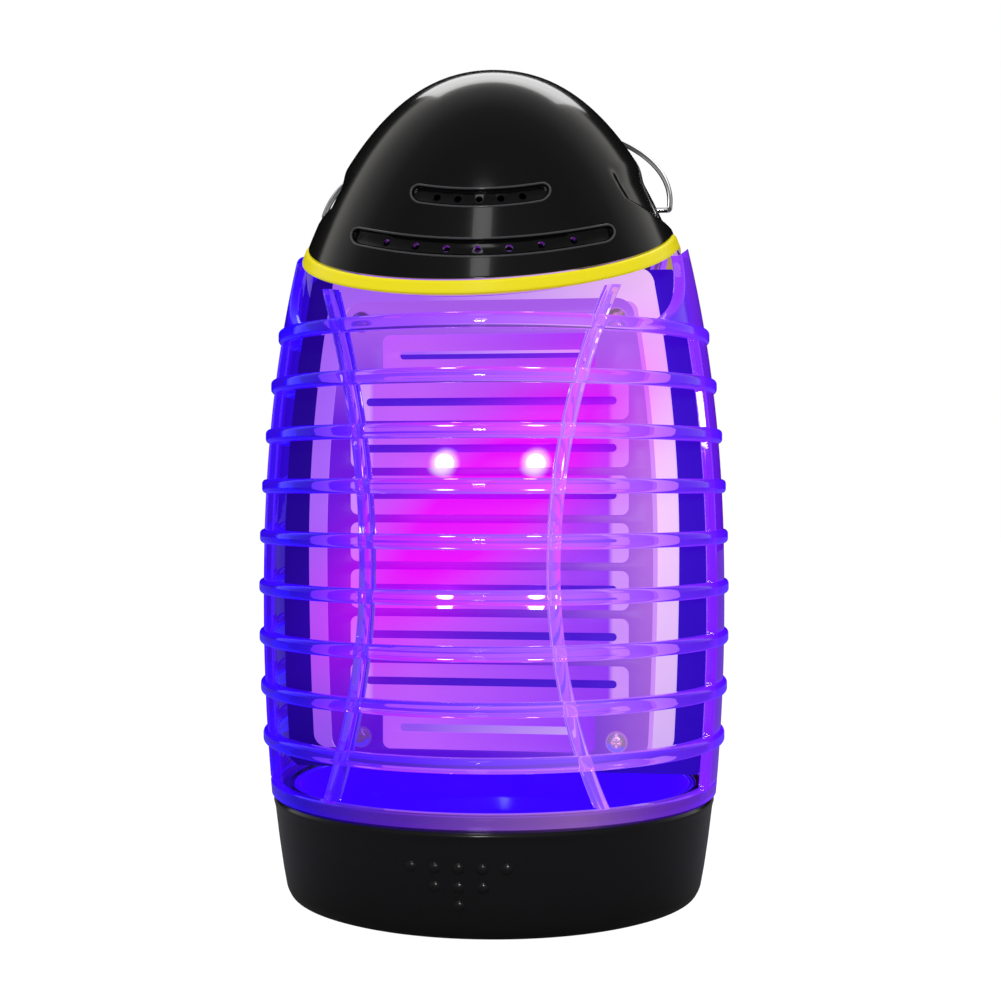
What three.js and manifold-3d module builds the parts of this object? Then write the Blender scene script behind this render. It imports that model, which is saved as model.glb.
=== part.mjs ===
// Electric bug zapper: a lantern-shaped insect killer about 225 mm tall.
// A black dome holds the electronics. A clear guard of stacked rings hangs from it round a
// flat core with an electrode grid on each face. A black base with a catch tray closes it.
// Millimetres, +Z up, front towards -Y, origin at the centre of the underside.

import * as THREE from 'three';
import { mergeVertices } from 'three/addons/utils/BufferGeometryUtils.js';
import Module from 'manifold-3d';

// ---------------------------------------------------------------- driving dimensions

const GAP = 0.3;                    // clearance kept between neighbouring pieces
const ROUND_SIDES = 32;             // facets round the axis on the large turned pieces
const FAR = 100;                    // reach of the cutting prisms, beyond the whole body

const TOTAL_HEIGHT = 225;
const DOME_FOOT_Z = 155;            // where the dome's outline would be at its widest
const DOME_FOOT_RADIUS = 57;
const DOME_WALL = 2.6;
const DOME_RISE_POWER = 1.235;      // shape of the dome's outline
const DOME_ROUND_POWER = 2.3;

const ARCH_SLOPE = 0.358;           // fall of the head's lower edge towards the front and back
const DOME_EDGE_PEAK = 181.85;
const DOME_EDGE_SOFT = 5.5;         // rounding of the arch where it peaks, at each side
const TRIM_EDGE_PEAK = 178.3;
const TRIM_EDGE_SOFT = 6.7;
const TRIM_PROUD = 0.4;             // the yellow ring stands this far out from the dome
const TRIM_WALL = 2.6;

const GUARD_WIDEST_Z = 80;
const GUARD_RADIUS = 63.15;
const GUARD_TOP_NARROWING = 9.25;   // less radius at the head than at the widest height
const GUARD_TOP_SPAN = 93.3;
const GUARD_FOOT_NARROWING = 1.95;  // less radius at the base than at the widest height
const GUARD_FOOT_SPAN = 47.7;
const RING_COUNT = 9;
const RING_PITCH = 13.47;
const RING_TOP_Z = 151.7;
const RING_PROUD = 1.15;            // the rings stand this far out from the pillars
const RING_HALF_DEPTH = 1.4;
const RING_HALF_HEIGHT = 1.9;
const PILLAR_WALL = 2.6;
const PILLAR_HALF_WIDTH = 16;
const GUSSET_REACH = 20;            // how much wider than the pillar its gussets start, at the ring
const GUSSET_HEIGHT = 22;
const RIM_INSET = 3.4;              // from the dome's face to the rim nested inside it
const RIM_WALL = 2.2;
const RIM_HEIGHT = 3.6;
const RIB_WIDTH = 3;
const RIB_DEPTH = 4.4;
const RIB_PROUD = 0.2;
const RIB_WAIST_X = 21.4;           // half the gap between two ribs, where it is narrowest
const RIB_WAIST_Z = 91;
const RIB_FLARE_UP = 0.00265;
const RIB_FLARE_DOWN = 0.0032;

const BASE_TOP_Z = 28;
const BASE_TOP_RADIUS = 60.2;
const BASE_WALL = 2.4;
const BOTTOM_RIM_TOP_Z = 32;
const SPIGOT_TOP_Z = 31;
const SPIGOT_RADIUS = 57.8;

const CORE_BOTTOM_Z = 39;
const CORE_TOP_Z = 170;
const PLATE_TOP_Z = 162.6;          // the plates on the core end lower than the core does
const CORE_HALF_WIDTH = 51;
const CORE_WIDEST_Z = 95;
const CORE_TOP_TAPER = 7.4;         // less half width at CORE_TAPER_SPAN above the widest height
const CORE_FOOT_TAPER = 2.8;
const CORE_TAPER_SPAN = 75;
const DIVIDER_HALF_THICKNESS = 1;
const DIVIDER_BOTTOM_Z = 33;
const DIVIDER_INSET = 3.7;          // from the guard's outer face to the divider's edge
const CORE_BACK_Y = 1.3;            // distances from the middle plane, the same front and rear
const CORE_FRONT_Y = 6.3;
const CORE_POCKET_Y = 3.1;
const CORE_RIM = 8;
const POCKET_BOTTOM_Z = 48;         // the hollow in the core that holds the LED board
const POCKET_TOP_Z = 151.6;
const LED_BOARD_BACK_Y = 3.4;
const LED_BOARD_FRONT_Y = 4.6;
const SLOT_PLATE_BACK_Y = 6.6;
const SLOT_PLATE_FRONT_Y = 7.6;
const GRID_BACK_Y = 10.4;
const GRID_FRONT_Y = 11.4;
const GRID_INSET = 6.5;             // from the core's edge to the grid's edge
const BAR_PITCH = 12.75;
const BAR_HEIGHT = 2.2;
const BAR_COUNT = 8;
const LOWEST_BAR_Z = 51.5;
const WINDOW_HALF_WIDTH = 38;
const SLOT_HEIGHT = 2.2;
const SLOT_HALF_LENGTH = 34.5;
const SHORT_SLOT_HALF_LENGTH = 25;
const LED_X = 12.6;
const LED_ROWS_Z = [79.4, 117.6];
const LED_RADIUS = 2.2;
const SCREW_X = 34.8;
const SCREW_ROWS_Z = [43, 156];
const SCREW_SHANK_RADIUS = 1.2;
const SCREW_HEAD_RADIUS = 2.95;
const SCREW_HEAD_HEIGHT = 1.8;
const POST_RADIUS = 3.3;

const BAIL_WIRE_RADIUS = 0.75;
const BAIL_PIVOT_Z = 186.5;
const BAIL_LOOP_RADIUS = 48.3;
const BAIL_LEG_HEIGHT = 3;
const BAIL_BEND = 1.6;              // size of the bend between an end and its leg
const BAIL_END_X = 41.5;
const BAIL_REST_DEG = 40;           // above the horizontal, folded to the rear

const VENT_DEPTH = 1.3;             // of the grooves and of the side pockets
const VENT_HOLE_RADIUS = 0.95;
const VENT_TURN_DEG = 4;            // the vents sit this far round from the front, to the right
const VENTS = [
  { halfLength: 16, middleZ: 182.9, sag: 2.3, height: 4.4, holes: 5, pitch: 5.5 },
  { halfLength: 32, middleZ: 169.8, sag: 5.6, height: 4.2, holes: 7, pitch: 8 },
];
const POCKET_LEDGE_Z = 181;
const POCKET_LEDGE_RISE = 5;        // the ledge rises towards its ends
const POCKET_ROOF_Z = 199;
const POCKET_ROOF_FALL = 4;
const POCKET_HALF_WIDTH = 27;
const PIVOT_CLEARANCE = 0.4;

const HEAD_FLOOR_Z = 170.5;
const HEAD_FLOOR_TOP_Z = 172.5;
const HEAD_FLOOR_RADIUS = 43.1;
const HEAD_SCREW_Y = 36;
const HEAD_SCREW_HOLE_RADIUS = 1.9;
const HEAD_SCREW_LENGTH = 9;
const BOSS_RADIUS = 3.4;
const PANEL_FACE_Y = 46.5;          // flat recess at the back of the head
const PANEL_WALL = 3;
const PANEL_BACK_Y = PANEL_FACE_Y - PANEL_WALL;
const PANEL_HALF_WIDTH = 21;
const PANEL_BOTTOM_Z = 172;
const PANEL_TOP_Z = 186;
const CONTROL_X = 9;
const CONTROL_Z = 178;
const BUTTON_RADIUS = 4.2;
const BUTTON_PROUD = 2.6;
const BUTTON_FLANGE_RADIUS = 5.2;
const BUTTON_TRAVEL_SPACE = 1.85;   // depth of the flange behind the panel
const INLET_RADIUS = 3.9;
const INLET_BORE_RADIUS = 2.9;
const INLET_PIN_RADIUS = 1;
const INLET_DEPTH = 8;
const INLET_PROUD = 0.6;
const INLET_BODY_HALF = 4.4;
const CONTROL_CLEARANCE = 0.4;

const BOARD_LIFT = 3;               // from the head floor to the electronics board
const BOARD_THICKNESS = 1.6;
const DOT_RADIUS = 1.5;
const DOT_PITCH = 5.9;
const DOT_PROUD = 0.5;
const TRAY_WALL = 1.4;
const TRAY_GAP = 0.35;

// ---------------------------------------------------------------- materials

const material = (color, roughness, metalness, opacity = 1) => new THREE.MeshStandardMaterial(
  { color, roughness, metalness, opacity, transparent: opacity < 1 });

const blackGloss = () => material(0x0c0c0e, 0.2, 0);
const blackSatin = () => material(0x151516, 0.4, 0);
const yellowGloss = () => material(0xfaf000, 0.35, 0);
const clearViolet = () => material(0x6a4cff, 0.1, 0, 0.35);
const whitePlastic = () => material(0xe9e4ef, 0.45, 0);
const steel = () => material(0xb9b6c4, 0.35, 0.9);
const chrome = () => material(0xd8dadd, 0.08, 1);
const greenBoard = () => material(0x14522e, 0.5, 0);
const ledViolet = () => material(0xe36bff, 0.1, 0);

// ---------------------------------------------------------------- solids

const wasm = await Module();
wasm.setup();

// Merges the shared vertices of a closed geometry and makes a solid whose faces point out.
function solidOf(geometry) {
  const bare = geometry.index ? geometry.toNonIndexed() : geometry.clone();
  bare.deleteAttribute('normal');
  bare.deleteAttribute('uv');
  const merged = mergeVertices(bare, 1e-4);
  const points = merged.attributes.position.array;
  const corners = [];
  for (let i = 0; i < merged.index.count; i += 3) {
    const [a, b, c] = merged.index.array.slice(i, i + 3);
    if (a !== b && b !== c && c !== a) corners.push(a, b, c);
  }
  if (signedVolume(points, corners) < 0) corners.reverse();
  return new wasm.Manifold(new wasm.Mesh({
    numProp: 3,
    vertProperties: new Float32Array(points),
    triVerts: new Uint32Array(corners),
  }));
}

function signedVolume(points, corners) {
  const [a, b, c] = [new THREE.Vector3(), new THREE.Vector3(), new THREE.Vector3()];
  let volume = 0;
  for (let i = 0; i < corners.length; i += 3) {
    a.fromArray(points, 3 * corners[i]);
    b.fromArray(points, 3 * corners[i + 1]);
    c.fromArray(points, 3 * corners[i + 2]);
    volume += a.dot(b.cross(c)) / 6;
  }
  return volume;
}

function geometryOf(solid) {
  const mesh = solid.getMesh();
  const geometry = new THREE.BufferGeometry();
  geometry.setAttribute('position', new THREE.BufferAttribute(new Float32Array(mesh.vertProperties), 3));
  geometry.setIndex(new THREE.BufferAttribute(new Uint32Array(mesh.triVerts), 1));
  geometry.computeVertexNormals();
  return geometry;
}

// A turned solid about +Z, from [radius, z] points that start and end on the axis or close up.
function turned(profile, sides = ROUND_SIDES) {
  const points = profile.map(([radius, z]) => new THREE.Vector2(radius, z));
  return solidOf(new THREE.LatheGeometry(points, sides).rotateX(Math.PI / 2));
}

const outline = (points) => new THREE.Shape(points.map(([u, v]) => new THREE.Vector2(u, v)));

function extruded(shape, from, to, basis) {
  const geometry = new THREE.ExtrudeGeometry(shape, { depth: to - from, bevelEnabled: false });
  return solidOf(geometry.translate(0, 0, from).applyMatrix4(basis));
}

// A prism whose [y, z] outline runs along X from one x to another.
function prismX(points, fromX, toX) {
  const basis = new THREE.Matrix4().makeBasis(
    new THREE.Vector3(0, 1, 0), new THREE.Vector3(0, 0, 1), new THREE.Vector3(1, 0, 0));
  return extruded(outline(points), fromX, toX, basis);
}

// A plate whose [x, z] outline runs from the depth `near` to the depth `far` in front of the
// middle plane. A shape can carry holes.
function plate(shape, near, far) {
  const basis = new THREE.Matrix4().makeBasis(
    new THREE.Vector3(1, 0, 0), new THREE.Vector3(0, 0, 1), new THREE.Vector3(0, -1, 0));
  return extruded(shape, near, far, basis);
}

function block(x, y, z) {
  const size = [x[1] - x[0], y[1] - y[0], z[1] - z[0]];
  const middle = [(x[0] + x[1]) / 2, (y[0] + y[1]) / 2, (z[0] + z[1]) / 2];
  return solidOf(new THREE.BoxGeometry(...size).translate(...middle));
}

// A round bar along X, Y or Z between two coordinates on that axis, centred on `at`.
function bar(axis, radius, from, to, at, sides = 16) {
  const geometry = new THREE.CylinderGeometry(radius, radius, to - from, sides);
  if (axis === 'x') geometry.rotateZ(-Math.PI / 2);
  if (axis === 'z') geometry.rotateX(Math.PI / 2);
  const middle = new THREE.Vector3(...at);
  middle[axis] = (from + to) / 2;
  return solidOf(geometry.translate(middle.x, middle.y, middle.z));
}

// Evenly spaced numbers from one value to another, both included.
const spread = (from, to, count) => Array.from(
  { length: count }, (_, i) => from + (to - from) * i / (count - 1));

// ---------------------------------------------------------------- shared outlines

// The dome's radius at a height, for the outer face or for a skin set in by `inset`.
function domeRadius(z, inset = 0) {
  const rise = Math.min(1, (z - DOME_FOOT_Z) / (TOTAL_HEIGHT - inset - DOME_FOOT_Z));
  const fullness = 1 - Math.pow(Math.max(0, rise), DOME_RISE_POWER);
  return (DOME_FOOT_RADIUS - inset) * Math.pow(fullness, 1 / DOME_ROUND_POWER);
}

// Profile points up the dome, closer together towards the top, where it curves most.
function domeProfile(inset, rows) {
  const top = TOTAL_HEIGHT - inset;
  return spread(0, 1, rows).map((t) => {
    const z = DOME_FOOT_Z + (top - DOME_FOOT_Z) * Math.sin(t * Math.PI / 2);
    return t === 1 ? [0, top] : [domeRadius(z, inset), z];
  });
}

function domeSolid(inset, rows = 9) {
  return turned([[0, DOME_FOOT_Z], ...domeProfile(inset, rows)]);
}

// The arched lower edges of the head, seen from the side: a soft peak over each pillar.
const archHeight = (y, peak, soft) => peak - ARCH_SLOPE * Math.hypot(y, soft);
const domeEdge = (y) => archHeight(y, DOME_EDGE_PEAK, DOME_EDGE_SOFT);
const trimEdge = (y) => archHeight(y, TRIM_EDGE_PEAK, TRIM_EDGE_SOFT);

// Everything above a side-view edge, raised by `lift`.
function aboveEdge(edge, lift) {
  const steps = spread(-FAR, FAR, 25).map((t) => Math.sign(t) * t * t / FAR);
  const edgePoints = steps.map((y) => [y, edge(y) + lift]);
  return prismX([...edgePoints, [FAR, 3 * FAR], [-FAR, 3 * FAR]], -FAR, FAR);
}

// The guard's outer radius at a height: a barrel, widest near its lower third.
function guardRadius(z) {
  if (z > GUARD_WIDEST_Z) {
    return GUARD_RADIUS - GUARD_TOP_NARROWING * Math.pow((z - GUARD_WIDEST_Z) / GUARD_TOP_SPAN, 2.3);
  }
  return GUARD_RADIUS - GUARD_FOOT_NARROWING * Math.pow((GUARD_WIDEST_Z - z) / GUARD_FOOT_SPAN, 2);
}

// A barrel-shaped skin of the guard between two depths from its outer face.
function guardSkin(outset, inset, fromZ, toZ) {
  const heights = spread(fromZ, toZ, 8);
  const outer = heights.map((z) => [guardRadius(z) + outset, z]);
  const inner = heights.map((z) => [guardRadius(z) - inset, z]).reverse();
  return turned([...outer, ...inner, outer[0]]);
}

function ringSolid(z, grow, sides = 6) {
  const centre = guardRadius(z) + RING_PROUD - RING_HALF_DEPTH;
  const profile = spread(0, 2 * Math.PI, sides + 1).map((angle) => [
    centre + (RING_HALF_DEPTH + grow) * Math.cos(angle),
    z + (RING_HALF_HEIGHT + grow) * Math.sin(angle),
  ]);
  profile[sides] = profile[0];
  return turned(profile);
}

const ringHeights = Array.from({ length: RING_COUNT }, (_, i) => RING_TOP_Z - i * RING_PITCH);

// The core's half width at a height.
function coreHalfWidth(z) {
  const taper = z > CORE_WIDEST_Z ? CORE_TOP_TAPER : CORE_FOOT_TAPER;
  return CORE_HALF_WIDTH - taper * Math.pow((z - CORE_WIDEST_Z) / CORE_TAPER_SPAN, 2);
}

// A barrel-sided outline in the XZ plane with chamfered corners.
function barrelShape(halfWidth, bottomZ, topZ, chamfer) {
  const heights = spread(bottomZ + chamfer, topZ - chamfer, 7);
  const right = heights.map((z) => [halfWidth(z), z]);
  right.unshift([halfWidth(bottomZ) - chamfer, bottomZ]);
  right.push([halfWidth(topZ) - chamfer, topZ]);
  const left = right.map(([x, z]) => [-x, z]).reverse();
  return outline([...right, ...left]);
}

// Points on an arc about [x, z], angles in quarter turns.
const arc = (x, z, radius, fromQuarter, toQuarter, count) => spread(fromQuarter, toQuarter, count)
  .map((quarter) => new THREE.Vector2(
    x + radius * Math.cos(quarter * Math.PI / 2), z + radius * Math.sin(quarter * Math.PI / 2)));

// A hole with round corners, centred on a height, in the XZ plane.
function roundedHole(halfWidth, middleZ, height, radius) {
  const flatX = halfWidth - radius;
  const flatZ = height / 2 - radius;
  return new THREE.Path([
    ...arc(flatX, middleZ + flatZ, radius, 0, 1, 3),
    ...arc(-flatX, middleZ + flatZ, radius, 1, 2, 3),
    ...arc(-flatX, middleZ - flatZ, radius, 2, 3, 3),
    ...arc(flatX, middleZ - flatZ, radius, 3, 4, 3),
  ]);
}

const roundHole = (x, z, radius) => new THREE.Path(arc(x, z, radius, 0, 4, 9).slice(1));

// ---------------------------------------------------------------- the assembly

const zapper = new THREE.Group();

function add(name, shape, look, place = () => {}) {
  const mesh = new THREE.Mesh(shape.isBufferGeometry ? shape : geometryOf(shape), look);
  mesh.name = name;
  place(mesh);
  zapper.add(mesh);
}

const SIDES = [['left', -1], ['right', 1]];
const FACES = [['front', 1], ['rear', -1]];

// Turns a mesh made for the front face round to the rear face.
const faceTurn = (face) => (mesh) => { mesh.rotation.z = face > 0 ? 0 : Math.PI; };

// ---------------------------------------------------------------- head

// A vent: a shallow groove that sags in the middle, with a row of holes through its floor.
function ventCut({ halfLength, middleZ, sag, height, holes, pitch }, skin) {
  const centreZ = (x) => middleZ + sag * (x / halfLength) ** 2;
  const xs = spread(-halfLength, halfLength, 7);
  const upper = xs.map((x) => [x, centreZ(x) + height / 2]);
  const lower = xs.map((x) => [x, centreZ(x) - height / 2]).reverse();
  upper.unshift([-halfLength - height / 3, centreZ(halfLength)]);
  upper.push([halfLength + height / 3, centreZ(halfLength)]);
  let cut = plate(outline([...upper, ...lower]), 5, FAR).subtract(skin);
  for (let i = 0; i < holes; i += 1) {
    const x = (i - (holes - 1) / 2) * pitch;
    cut = cut.add(bar('y', VENT_HOLE_RADIUS, -FAR, -5, [x, 0, centreZ(x)], 6));
  }
  return cut.rotate([0, 0, VENT_TURN_DEG]);
}

// The side pocket that the bail's leg lies in, as a shallow recess with a sagging ledge.
function pocketCut(side, skin) {
  const sag = (y) => (y / POCKET_HALF_WIDTH) ** 2;
  const ys = spread(-POCKET_HALF_WIDTH, POCKET_HALF_WIDTH, 5);
  const ledge = ys.map((y) => [y, POCKET_LEDGE_Z + POCKET_LEDGE_RISE * sag(y)]);
  const roof = ys.map((y) => [0.93 * y, POCKET_ROOF_Z - POCKET_ROOF_FALL * sag(y)]).reverse();
  const recess = prismX([...ledge, ...roof], side > 0 ? 5 : -FAR, side > 0 ? FAR : -5);
  const pivotHole = bar('x', BAIL_WIRE_RADIUS + PIVOT_CLEARANCE, side > 0 ? 30 : -60,
    side > 0 ? 60 : -30, [0, 0, BAIL_PIVOT_Z], 8);
  return recess.subtract(skin).add(pivotHole);
}

function domeCap() {
  const outside = domeSolid(0, 10);
  const recessSkin = domeSolid(VENT_DEPTH);
  const rearPad = block([-PANEL_HALF_WIDTH - 2, PANEL_HALF_WIDTH + 2], [PANEL_BACK_Y, FAR],
    [PANEL_BOTTOM_Z - 1.6, PANEL_TOP_Z + 2]);
  const panelSpace = block([-PANEL_HALF_WIDTH, PANEL_HALF_WIDTH], [PANEL_FACE_Y, FAR],
    [PANEL_BOTTOM_Z, PANEL_TOP_Z]);
  const boss = (y) => bar('z', BOSS_RADIUS, HEAD_FLOOR_TOP_Z + GAP, 205, [0, y, 0], 8)
    .subtract(bar('z', HEAD_SCREW_HOLE_RADIUS, HEAD_FLOOR_Z, HEAD_FLOOR_Z + 11, [0, y, 0], 6));
  const controlHole = (x, radius) => bar('y', radius + CONTROL_CLEARANCE, 30, FAR, [x, 0, CONTROL_Z]);
  const shell = outside.subtract(domeSolid(DOME_WALL))
    .add(rearPad.intersect(outside))
    .add(boss(HEAD_SCREW_Y).add(boss(-HEAD_SCREW_Y)).intersect(outside))
    .intersect(aboveEdge(domeEdge, 0))
    .subtract(panelSpace)
    .subtract(controlHole(CONTROL_X, BUTTON_RADIUS))
    .subtract(controlHole(-CONTROL_X, INLET_RADIUS))
    .subtract(pocketCut(1, recessSkin))
    .subtract(pocketCut(-1, recessSkin));
  return VENTS.reduce((solid, vent) => solid.subtract(ventCut(vent, recessSkin)), shell);
}

// A ring cut from a skin that follows the dome's outline, between two arched edges.
function archedRing(outset, inset, lowerEdge, lowerLift, upperEdge, upperLift) {
  const heights = spread(DOME_FOOT_Z - 1, 186, 5);
  const outer = heights.map((z) => [domeRadius(Math.max(z, DOME_FOOT_Z)) + outset, z]);
  const inner = heights.map((z) => [domeRadius(Math.max(z, DOME_FOOT_Z)) - inset, z]).reverse();
  return turned([...outer, ...inner, outer[0]])
    .intersect(aboveEdge(lowerEdge, lowerLift))
    .subtract(aboveEdge(upperEdge, upperLift));
}

// The bail's wire, drawn upright in the XZ plane about its pivot line.
function bailWire() {
  const end = [
    new THREE.Vector3(BAIL_END_X, 0, 0),
    new THREE.Vector3(BAIL_LOOP_RADIUS - BAIL_BEND, 0, 0),
    new THREE.Vector3(BAIL_LOOP_RADIUS - BAIL_BEND / 4, 0, BAIL_BEND / 4),
    new THREE.Vector3(BAIL_LOOP_RADIUS, 0, BAIL_BEND),
  ];
  const otherEnd = end.map(({ x, z }) => new THREE.Vector3(-x, 0, z));
  const loop = spread(Math.PI, 0, 13).map((angle) => new THREE.Vector3(
    BAIL_LOOP_RADIUS * Math.cos(angle), 0, BAIL_LEG_HEIGHT + BAIL_LOOP_RADIUS * Math.sin(angle)));
  const route = new THREE.CatmullRomCurve3([...otherEnd, ...loop, ...end.reverse()], false, 'centripetal');
  const section = new THREE.Shape().absarc(0, 0, BAIL_WIRE_RADIUS, 0, 2 * Math.PI);
  return new THREE.ExtrudeGeometry(new THREE.Shape(section.getPoints(3)),
    { steps: 52, extrudePath: route });
}

function powerButton() {
  const at = [CONTROL_X, 0, CONTROL_Z];
  const flangeFront = PANEL_BACK_Y - GAP;
  return bar('y', BUTTON_RADIUS, flangeFront - 0.1, PANEL_FACE_Y + BUTTON_PROUD, at)
    .add(bar('y', BUTTON_FLANGE_RADIUS, flangeFront - BUTTON_TRAVEL_SPACE, flangeFront, at));
}

function powerInlet() {
  const at = [-CONTROL_X, 0, CONTROL_Z];
  const back = PANEL_BACK_Y - GAP;
  const floorY = PANEL_FACE_Y - INLET_DEPTH;
  const body = block([-CONTROL_X - INLET_BODY_HALF, -CONTROL_X + INLET_BODY_HALF], [back - 9, back],
    [CONTROL_Z - INLET_BODY_HALF, CONTROL_Z + INLET_BODY_HALF]);
  return body.add(bar('y', INLET_RADIUS, back - 1, PANEL_FACE_Y + INLET_PROUD, at))
    .subtract(bar('y', INLET_BORE_RADIUS, floorY, PANEL_FACE_Y + 1, at))
    .add(bar('y', INLET_PIN_RADIUS, floorY - 1, PANEL_FACE_Y - 1, at, 8));
}

function headFloor() {
  const hole = (y) => bar('z', HEAD_SCREW_HOLE_RADIUS, HEAD_FLOOR_Z - 1, HEAD_FLOOR_TOP_Z + 1, [0, y, 0], 6);
  const profile = [[0, HEAD_FLOOR_Z], [HEAD_FLOOR_RADIUS, HEAD_FLOOR_Z],
    [HEAD_FLOOR_RADIUS, HEAD_FLOOR_TOP_Z], [0, HEAD_FLOOR_TOP_Z]];
  return turned(profile).subtract(hole(HEAD_SCREW_Y)).subtract(hole(-HEAD_SCREW_Y));
}

// A pan-head screw along +Z: the shank runs up from the origin, the head hangs below it.
function screw(shankRadius, headRadius, headHeight, length) {
  const profile = [
    [0, -headHeight],
    [headRadius * 0.7, -headHeight],
    [headRadius, -headHeight * 0.4],
    [headRadius, 0],
    [shankRadius, 0],
    [shankRadius, length],
    [0, length],
  ];
  const slot = headRadius * 0.6;
  const depth = [-headHeight - 1, -headHeight * 0.35];
  return turned(profile, 10)
    .subtract(block([-slot, slot], [-0.35, 0.35], depth))
    .subtract(block([-0.35, 0.35], [-slot, slot], depth));
}

add('dome_cap', domeCap(), blackGloss());
add('trim_ring', archedRing(TRIM_PROUD, TRIM_WALL - TRIM_PROUD, trimEdge, 0, domeEdge, -GAP), yellowGloss());
add('bail', bailWire(), chrome(), (mesh) => {
  mesh.position.z = BAIL_PIVOT_Z;
  mesh.rotation.x = THREE.MathUtils.degToRad(BAIL_REST_DEG - 90);
});
add('power_button', powerButton(), yellowGloss());
add('power_inlet', powerInlet(), blackSatin());
add('head_floor', headFloor(), blackSatin());
for (const [name, face] of FACES) {
  add(`head_screw_${name}`, screw(SCREW_SHANK_RADIUS, SCREW_HEAD_RADIUS, SCREW_HEAD_HEIGHT,
    HEAD_SCREW_LENGTH), steel(), (mesh) => {
    mesh.position.set(0, -face * HEAD_SCREW_Y, HEAD_FLOOR_Z - GAP);
  });
}

// The high-voltage electronics stand on the head floor.
const BOARD_Z = HEAD_FLOOR_TOP_Z + BOARD_LIFT;
const boardLegs = [[-26, -16], [26, -16], [-26, 16], [26, 16]].map(([x, y]) => bar(
  'z', 2, HEAD_FLOOR_TOP_Z + GAP, BOARD_Z + 0.5, [x, y, 0], 8));
const board = block([-30, 30], [-20, 20], [BOARD_Z, BOARD_Z + BOARD_THICKNESS]);
add('hv_board', boardLegs.reduce((sum, leg) => sum.add(leg), board), greenBoard());
const PARTS_Z = BOARD_Z + BOARD_THICKNESS + GAP;
add('hv_transformer', block([-24, -4], [-12, 8], [PARTS_Z, PARTS_Z + 4])
  .add(block([-20, -8], [-9, 5], [PARTS_Z + 3, PARTS_Z + 16])), material(0x2a2622, 0.5, 0.2));
add('hv_capacitor', bar('y', 5, -14, 12, [14, 0, PARTS_Z + 5]), material(0x9a3d1c, 0.4, 0));

// ---------------------------------------------------------------- guard

const allRings = ringHeights.map((z) => ringSolid(z, GAP)).reduce((sum, ring) => sum.add(ring));
const headSpace = aboveEdge(trimEdge, -GAP);
const SKIN_BOTTOM_Z = BOTTOM_RIM_TOP_Z + GAP;

ringHeights.forEach((z, i) => add(`guard_ring_${i + 1}`, ringSolid(z, 0), clearViolet()));

// Half the gap between the two ribs of a face, an hourglass that is narrowest at the waist.
function ribX(z) {
  const flare = z > RIB_WAIST_Z ? RIB_FLARE_UP : RIB_FLARE_DOWN;
  return RIB_WAIST_X + flare * (z - RIB_WAIST_Z) ** 2;
}

function guardRib(side) {
  const heights = spread(20, 175, 10);
  const inner = heights.map((z) => [side * ribX(z), z]);
  const outer = heights.map((z) => [side * (ribX(z) + RIB_WIDTH), z]).reverse();
  return plate(outline([...inner, ...outer]), 10, FAR)
    .intersect(guardSkin(RIB_PROUD, RIB_DEPTH, SKIN_BOTTOM_Z, 175))
    .subtract(headSpace)
    .subtract(allRings);
}

// A wide side wall that widens into two curved gussets above the top ring.
function guardPillar(side) {
  const gusset = spread(0, 1, 6).map((t) => [
    PILLAR_HALF_WIDTH + GUSSET_REACH * (1 - t) ** 2, RING_TOP_Z + GUSSET_HEIGHT * t]);
  const half = [[PILLAR_HALF_WIDTH, 0], [PILLAR_HALF_WIDTH, RING_TOP_Z - 0.4], ...gusset,
    [PILLAR_HALF_WIDTH, 2 * FAR]];
  const mirrored = half.map(([y, z]) => [-y, z]).reverse();
  return prismX([...half, ...mirrored], side > 0 ? 10 : -FAR, side > 0 ? FAR : -10)
    .intersect(guardSkin(0, PILLAR_WALL, SKIN_BOTTOM_Z, 178))
    .subtract(headSpace)
    .subtract(allRings);
}

for (const [sideName, side] of SIDES) {
  for (const [faceName, face] of FACES) {
    add(`guard_rib_${faceName}_${sideName}`, guardRib(side * face), clearViolet(), faceTurn(face));
  }
  add(`guard_pillar_${sideName}`, guardPillar(side), clearViolet());
}
add('guard_top_rim', archedRing(-RIM_INSET, RIM_INSET + RIM_WALL, trimEdge, 0, trimEdge, RIM_HEIGHT),
  clearViolet());
add('guard_bottom_rim', turned([
  [guardRadius(BASE_TOP_Z), BASE_TOP_Z + GAP],
  [guardRadius(BOTTOM_RIM_TOP_Z), BOTTOM_RIM_TOP_Z],
  [guardRadius(BOTTOM_RIM_TOP_Z) - PILLAR_WALL, BOTTOM_RIM_TOP_Z],
  [guardRadius(BASE_TOP_Z) - PILLAR_WALL, BASE_TOP_Z + GAP],
  [guardRadius(BASE_TOP_Z), BASE_TOP_Z + GAP],
]), clearViolet());

// ---------------------------------------------------------------- core

const barHeights = Array.from({ length: BAR_COUNT }, (_, i) => LOWEST_BAR_Z + i * BAR_PITCH);
const slotHeights = Array.from({ length: BAR_COUNT + 1 }, (_, i) => LOWEST_BAR_Z + (i - 0.5) * BAR_PITCH);
const screwPlaces = SCREW_ROWS_Z.flatMap((z) => [[-SCREW_X, z], [SCREW_X, z]]);
const ledPlaces = LED_ROWS_Z.flatMap((z) => [[-LED_X, z], [LED_X, z]]);
const isBesideScrews = (z) => SCREW_ROWS_Z.some((screwZ) => Math.abs(screwZ - z) < BAR_PITCH);

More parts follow.
